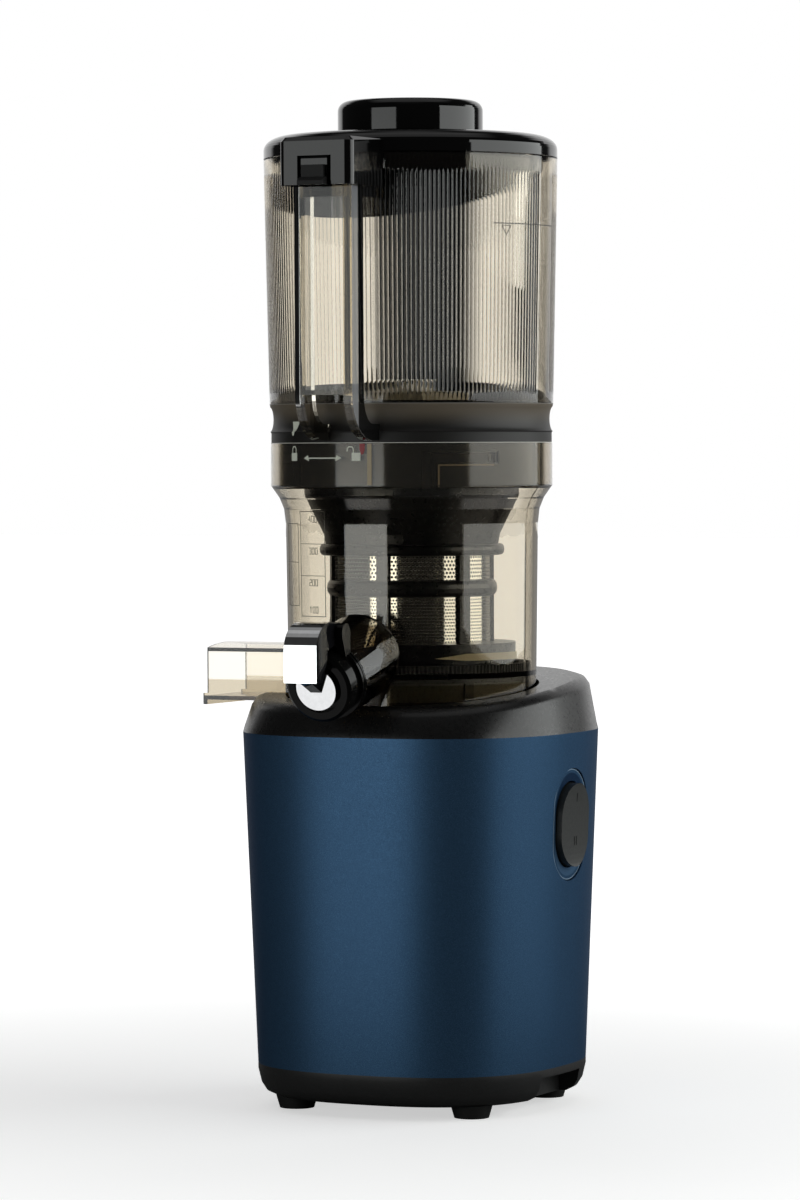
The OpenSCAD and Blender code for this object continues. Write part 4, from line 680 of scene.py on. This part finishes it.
def fluted_hopper(material):
    """The clear hopper with flutes in its outer face, in place of the plain CAD node."""
    outer, inner = hopper_rows()
    angles = [360.0 * i / COLUMNS + FLUTE_START for i in range(COLUMNS)]
    bm = bmesh.new()
    rings = []
    for radius, z in outer:
        ring = []
        for angle in angles:
            cut = flute_depth(angle, z) + groove_depth(angle, z)
            ring.append(bm.verts.new(point(angle, radius - cut, z)))
        rings.append(ring)
    for radius, z in inner:
        rings.append([bm.verts.new(point(angle, radius, z)) for angle in angles])
    rings.append(rings[0])
    for low, high in zip(rings, rings[1:]):
        for i in range(COLUMNS):
            j = (i + 1) % COLUMNS
            bm.faces.new((low[i], low[j], high[j], high[i]))
    piece = finish_piece("hopper_fluted", bm, material, "hopper")
    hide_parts("hopper")


INK_THICKNESS = 0.00012
INK_STEP = 1.5


def plate(name, polygons, place, material, body):
    """Thin raised shapes on a curved face, cut into strips that can follow it.

    Polygons are in degrees across and millimetres up.
    """
    bm = bmesh.new()
    for polygon in polygons:
        bm.faces.new([bm.verts.new((u, v, 0.0)) for u, v in polygon])
    low = min(u for polygon in polygons for u, _ in polygon)
    high = max(u for polygon in polygons for u, _ in polygon)
    cut = math.floor(low / INK_STEP) * INK_STEP + INK_STEP
    while cut < high:
        bmesh.ops.bisect_plane(bm, geom=bm.verts[:] + bm.edges[:] + bm.faces[:],
                               plane_co=(cut, 0.0, 0.0), plane_no=(1.0, 0.0, 0.0))
        cut += INK_STEP
    made = bmesh.ops.extrude_face_region(bm, geom=bm.faces[:], use_keep_orig=True)
    for part in made["geom"]:
        if isinstance(part, bmesh.types.BMVert):
            part.co.z = INK_THICKNESS
    for vert in bm.verts:
        vert.co = place(*vert.co)
    finish_piece(name, bm, material, body)


def stroke(points, width, closed=False, aspect=1.0):
    """Quads along a line of given width. Aspect is degrees per millimetre across."""
    flat = [Vector((u / aspect, v)) for u, v in points]
    count = len(flat)
    pairs = []
    for i, here in enumerate(flat):
        ahead = flat[(i + 1) % count] - here if closed or i < count - 1 else here - flat[i - 1]
        behind = here - flat[i - 1] if closed or i > 0 else ahead
        ahead, behind = ahead.normalized(), behind.normalized()
        normal = Vector((-(ahead + behind).y, (ahead + behind).x)).normalized()
        reach = width / 2 / max(0.35, normal.dot(Vector((-ahead.y, ahead.x))))
        pairs.append((here + normal * reach, here - normal * reach))
    out = []
    for i in range(count if closed else count - 1):
        a, b = pairs[i], pairs[(i + 1) % count]
        out.append([(p.x * aspect, p.y) for p in (a[0], b[0], b[1], a[1])])
    return out


def box_line(left, low, right, high, width, aspect):
    return stroke([(left, low), (right, low), (right, high), (left, high)], width, True, aspect)


DIGITS = {
    "0": [[(0, 0), (1, 0), (1, 2), (0, 2), (0, 0)]],
    "1": [[(0.5, 0), (0.5, 2), (0.1, 1.6)]],
    "2": [[(0, 2), (1, 2), (1, 1), (0, 1), (0, 0), (1, 0)]],
    "3": [[(0, 2), (1, 2), (1, 0), (0, 0)], [(0.25, 1), (0.95, 1)]],
    "4": [[(0.8, 0), (0.8, 2), (0, 0.7), (1, 0.7)]],
}
FIGURE_LINE = 0.32


def number(text, left, low, height, aspect):
    """Plain figures, drawn as lines."""
    out = []
    scale = height / 2
    for i, figure in enumerate(text):
        for line in DIGITS[figure]:
            spots = [(left + (i * 1.6 + u) * scale * aspect, low + v * scale) for u, v in line]
            out += stroke(spots, FIGURE_LINE, False, aspect)
    return out


def on_cylinder(radius, lift=0.00004):
    """Place on an upright cone or cylinder: radius is a value or a function of the height in metres."""
    def place(u, v, w):
        z = v * MM
        base = radius(z) if callable(radius) else radius
        return point(u, base + lift + w, z)
    return place


def bowl_radius(z):
    return BOWL_R + (BOWL_NECK_R - BOWL_R) * (z - BOWL_Z) / (FLARE_Z - BOWL_Z)


def hopper_radius(z):
    return HOPPER_LOW_R + (HOPPER_R - HOPPER_LOW_R) * (z - WAIST_Z) / (RIM_Z - WAIST_Z)


def waist_radius(z):
    """The hollow band under the hopper."""
    reach = max(-1.0, min(1.0, (z - HOPPER_Z - HOLLOW_Z) / HOLLOW_HALF))
    return HOPPER_LOW_R - HOLLOW_DEEP * math.sqrt(1.0 - reach * reach)


def degrees_per_mm(radius):
    return math.degrees(MM / radius)


def scale_marks():
    """Level marks with plain numbers, on the bowl and the hopper."""
    grey = print_ink("mark_grey", shade(126, 122, 112))
    aspect = degrees_per_mm(BOWL_NECK_R)
    lines = box_line(-34.8, 245.9, -17.0, 297.6, 0.35, aspect)
    for z in (281.6, 265.9):
        lines += stroke([(-34.6, z), (-17.2, z)], 0.3, False, aspect)
    lines += box_line(-50.7, 250.9, -37.2, 291.4, 0.35, aspect)
    lines += stroke([(-50.5, 272.4), (-37.4, 272.4)], 0.3, False, aspect)
    for text, z in (("400", 292.3), ("300", 276.6), ("200", 261.0), ("100", 247.6)):
        lines += number(text, -27.7, z, 3.0, aspect)
    plate("bowl_marks", lines, on_cylinder(bowl_radius), grey, "bowl")
    dark = print_ink("mark_dark", shade(62, 60, 55))
    aspect = degrees_per_mm(HOPPER_R)
    level = stroke([(59.5, 438.0), (98.7, 438.0)], 0.45, False, aspect)
    level += stroke([(63.5, 437.0), (65.8, 432.5), (68.0, 437.0)], 0.35, True, aspect)
    plate("hopper_marks", level, on_cylinder(hopper_radius, 0.0001), dark, "hopper")


def lock_marks():
    """Padlocks, arrows and the bar that shows where the hopper locks, with painted shade lines outlining lock
    channels on the spigot and a painted highlight along one of them.
    """
    pale = print_ink("mark_pale", shade(232, 236, 220))
    red = print_ink("mark_red", shade(150, 22, 30))
    aspect = degrees_per_mm(COLLAR_R)
    shut = [[(-31.0, 322.5), (-27.2, 322.5), (-27.2, 326.4), (-31.0, 326.4)]]
    shut += stroke([(-30.3, 326.2), (-30.3, 328.4), (-29.7, 329.5),
                    (-28.5, 329.5), (-27.9, 328.4), (-27.9, 326.2)], 0.55, False, aspect)
    free = [[(1.3, 322.4), (5.1, 322.4), (5.1, 326.4), (1.3, 326.4)]]
    free += stroke([(2.0, 326.2), (2.0, 328.3), (1.4, 329.3),
                    (0.0, 329.3), (-0.7, 328.4), (-0.7, 327.0)], 0.55, False, aspect)
    arrow = [[(-20.4, 323.5), (-5.6, 323.5), (-5.6, 324.1), (-20.4, 324.1)],
             [(-22.8, 323.8), (-19.8, 322.3), (-20.4, 325.3)],
             [(-3.2, 323.8), (-5.6, 325.3), (-6.2, 322.3)]]
    plate("lock_marks", shut + free + arrow, on_cylinder(COLLAR_R), pale, "bowl")
    pointer = [(5.4, 325.5), (6.2, 325.5), (6.9, 328.0), (6.9, 330.8), (4.7, 330.8), (4.7, 328.0)]
    plate("lock_red_mark", [pointer], on_cylinder(COLLAR_R), red, "bowl")
    plate("lock_bar", [[(7.9, 310.6), (9.7, 310.6), (9.7, 330.8), (7.9, 330.8)]],
          on_cylinder(COLLAR_R), print_ink("mark_beige", shade(176, 160, 128)), "bowl")
    # Painted shade: dark lines outlining lock channels on the spigot, and a painted highlight along the inner
    # edge of one
    dark = print_ink("channel_shade_black", shade(12, 12, 11))
    aspect = degrees_per_mm(SPIGOT_R)
    channel_shade = stroke([(33.9, 310.6), (33.9, 326.1), (62.1, 326.1),
                       (62.1, 321.1), (36.1, 321.1), (36.1, 310.6)], 0.9, False, aspect)
    channel_shade += stroke([(-50.5, 321.1), (-50.5, 326.1), (-27.5, 326.1), (-27.5, 310.6)], 0.7, False, aspect)
    channel_shade += stroke([(-50.5, 321.1), (-32.6, 321.1), (-32.6, 310.6)], 0.7, False, aspect)
    plate("channel_shade_lines", channel_shade, on_cylinder(SPIGOT_R, 0.0001), dark, "hopper")
    glints = stroke([(62.1, 320.2), (37.0, 320.2), (37.0, 310.6)], 0.7, False, aspect)
    tan = print_ink("channel_glint_tan", shade(206, 188, 160))
    plate("channel_glints", glints, on_cylinder(SPIGOT_R, 0.0001), tan, "hopper")
    down = [[(-31.8 + 0.27 * i, 341.8 - 0.87 * i), (-31.53 + 0.27 * i, 340.93 - 0.87 * i),
             (-27.07 - 0.27 * i, 340.93 - 0.87 * i), (-26.8 - 0.27 * i, 341.8 - 0.87 * i)] for i in range(8)]
    plate("waist_mark", down, on_cylinder(waist_radius, 0.0001), pale, "hopper")


RING_SIDES = 120


def band_ring(name, low, high, inner, outer, material, body):
    """A closed upright ring round the drive axis, with heights and radii in metres."""
    bm = bmesh.new()
    rings = [[bm.verts.new(point(360.0 / RING_SIDES * i, radius, z)) for i in range(RING_SIDES)]
             for radius, z in ((outer, low), (outer, high), (inner, high), (inner, low))]
    for near, far in zip(rings, rings[1:] + rings[:1]):
        for i in range(RING_SIDES):
            j = (i + 1) % RING_SIDES
            bm.faces.new((near[i], near[j], far[j], far[i]))
    finish_piece(name, bm, material, body)


def foot_details():
    """Stand-ins for light seen in the clear plastic, and not real pieces.

    They are the panes in the foot ring's windows, the gold lip over the gasket and the pale seam under the waist.
    """
    panes = grained_plastic("pane_light_grey", shade(112, 110, 102), 0.3)
    band_ring("foot_pane_light", 0.2014, 0.2148, 0.0576, 0.0578, panes, "bowl")
    gold = print_ink("lip_light_gold", shade(236, 220, 178))
    lip = [[(36.0, 225.6), (52.0, 224.4), (84.0, 224.4), (84.0, 228.2), (52.0, 227.8)]]
    plate("floor_lip_light", lip, on_cylinder(0.0592), gold, "bowl")
    seam = print_ink("seam_light_pale", shade(226, 224, 214))
    band_ring("waist_seam_light", 0.3311, 0.3314, 0.0668, COLLAR_R - 0.0001, seam, "hopper")


RAY_FROM = 0.2


def on_rocker(u, v, w):
    """Place on the rocker's dished face, in millimetres across and up, found by a ray from outside."""
    node = NODES["switch_rocker"]
    inward = node.matrix_world.inverted()
    start = inward @ Vector((RAY_FROM, u * MM, v * MM))
    _, spot, normal, _ = node.ray_cast(start, inward.to_3x3() @ Vector((-1.0, 0.0, 0.0)))
    return node.matrix_world @ (spot + normal * (0.00003 + w))


def rocker_marks():
    """One stroke for on and two for reverse."""
    lines = stroke([(25.5, 153.4), (25.5, 157.6)], 0.8)
    lines += stroke([(24.4, 131.8), (24.4, 136.2)], 0.8) + stroke([(26.8, 131.8), (26.8, 136.2)], 0.8)
    plate("rocker_marks", lines, on_rocker, print_ink("mark_groove", shade(9, 10, 10)), "rocker")


def sector(tree, angle, middle, half, soft):
    """1 within an angle of a direction round the machine, 0 beyond it."""
    turned = tree.math("FLOORED_MODULO", tree.math("ADD", angle, 540.0 - middle), 360.0)
    return tree.ramp(tree.math("ABSOLUTE", tree.math("SUBTRACT", turned, 180.0)), half - soft, half + soft,
                     1.0, 0.0, smooth=True)


def backdrop(tree, angle):
    return sector(tree, angle, BACKDROP, BACKDROP_HALF, 5.0)


def studio(tree, angle, lift):
    """Brightness of the room: a white backdrop behind the machine, dark sides and a grey ceiling."""
    behind = tree.math("MULTIPLY", backdrop(tree, angle), tree.ramp(lift, *BACKDROP_TOP, 1.0, 0.0))
    above = tree.ramp(lift, *CEILING_EDGE, 0.0, CEILING, smooth=True)
    return tree.math("MAXIMUM", tree.math("MAXIMUM", behind, above), DARKEST)


def clear_view(tree, path):
    """1 for rays that come straight through the clear parts, with no reflection on their way."""
    direct = tree.math("MULTIPLY", tree.math("LESS_THAN", path.outputs["Glossy Depth"], 0.5),
                       tree.math("LESS_THAN", path.outputs["Diffuse Depth"], 0.5))
    return tree.math("MULTIPLY", path.outputs["Is Transmission Ray"], direct)


def floor_white():
    """White where the camera sees it, with the shadow kept.

    Where glossy parts reflect it, it is dull near the machine and lit like the room farther out.
    """
    made = Shader("floor", (0.8, 0.8, 0.8), 0.9)
    angle, far, _ = made.around(made.points)
    made.tint(made.noise(3.0), (0.78, 0.78, 0.78), (0.82, 0.82, 0.82))
    path = made.add("ShaderNodeLightPath")
    seen = made.math("MAXIMUM", path.outputs["Is Camera Ray"], clear_view(made, path))
    glow = made.add("ShaderNodeEmission")
    made.feed(glow.inputs["Strength"], made.ramp(far, 0.15, 1.0, 0.55, 1.0, smooth=True))
    lit = made.add("ShaderNodeAddShader")
    made.join(made.surface.outputs[0], lit.inputs[0])
    made.join(glow.outputs[0], lit.inputs[1])
    dull = made.add("ShaderNodeBsdfDiffuse")
    dull.inputs["Color"].default_value = (0.18, 0.18, 0.18, 1.0)
    room = made.add("ShaderNodeEmission")
    left, right = (made.math("MULTIPLY", sector(made, angle, middle, half, soft), strength)
                   for middle, half, soft, strength in FLOOR_GLOWS)
    sides = made.math("MULTIPLY", made.math("MAXIMUM", left, right),
                      made.ramp(far, 1.0, 1.3, 1.0, 0.0, smooth=True))
    behind = made.math("MAXIMUM", backdrop(made, angle), DARKEST)
    made.feed(room.inputs["Strength"], made.math("MAXIMUM", sides, made.math("MULTIPLY", behind, 0.3)))
    plain = made.mix_shader(made.ramp(far, 0.18, 0.42, smooth=True), dull.outputs[0], room.outputs[0])
    made.join(made.mix_shader(seen, plain, lit.outputs[0]), made.output.inputs["Surface"])
    return made.material


def stage():
    """The floor, and a room that glossy parts can reflect."""
    bpy.ops.mesh.primitive_plane_add(size=30.0, location=(AXIS.x, AXIS.y, 0.0))
    floor = bpy.context.object
    floor.name = "floor"
    floor.data.materials.append(floor_white())

    world = bpy.data.worlds.new("studio")
    bpy.context.scene.world = world
    world.use_nodes = True
    tree = Tree(world.node_tree)
    spot = tree.add("ShaderNodeTexCoord").outputs["Generated"]
    angle, _, lift = tree.around(spot)
    path = tree.add("ShaderNodeLightPath")
    bright = studio(tree, angle, lift)
    through = tree.math("MULTIPLY", clear_view(tree, path), ROOM_BEHIND_CLEAR)
    strength = tree.math("MAXIMUM", tree.math("MAXIMUM", bright, through), path.outputs["Is Camera Ray"])
    tree.join(strength, tree.nodes["Background"].inputs["Strength"])
    tree.nodes["Background"].inputs["Color"].default_value = (1.0, 1.0, 1.0, 1.0)
    bpy.context.scene.view_settings.view_transform = "Standard"


def soft_box(name, azimuth, distance, height, size, radiance):
    """An area light facing the drive axis, dimmer where it is seen straight through the clear parts."""
    data = bpy.data.lights.new(name, "AREA")
    data.shape = "RECTANGLE"
    data.size, data.size_y = size
    data.energy = radiance * math.pi * size[0] * size[1]
    data.color = LIGHT_COLOR
    data.use_nodes = True
    tree = Tree(data.node_tree)
    path = tree.add("ShaderNodeLightPath")
    straight = tree.math("MULTIPLY", tree.math("LESS_THAN", path.outputs["Glossy Depth"], 0.5),
                         path.outputs["Is Transmission Ray"])
    tree.join(tree.ramp(straight, 0.0, 1.0, 1.0, BOX_BEHIND_CLEAR), tree.nodes["Emission"].inputs["Strength"])
    light = bpy.data.objects.new(name, data)
    bpy.context.scene.collection.objects.link(light)
    light.visible_camera = False
    place = point(azimuth, distance, height)
    aim = AXIS + Vector((0.0, 0.0, height))
    light.location = place
    light.rotation_euler = (aim - place).to_track_quat("-Z", "Y").to_euler()


make_camera()
dress_nodes()
smooth_nodes()
fluted_hopper(hopper_clear())
scale_marks()
lock_marks()
rocker_marks()
foot_details()
stage()
for light_box in LIGHT_BOXES:
    soft_box(*light_box)
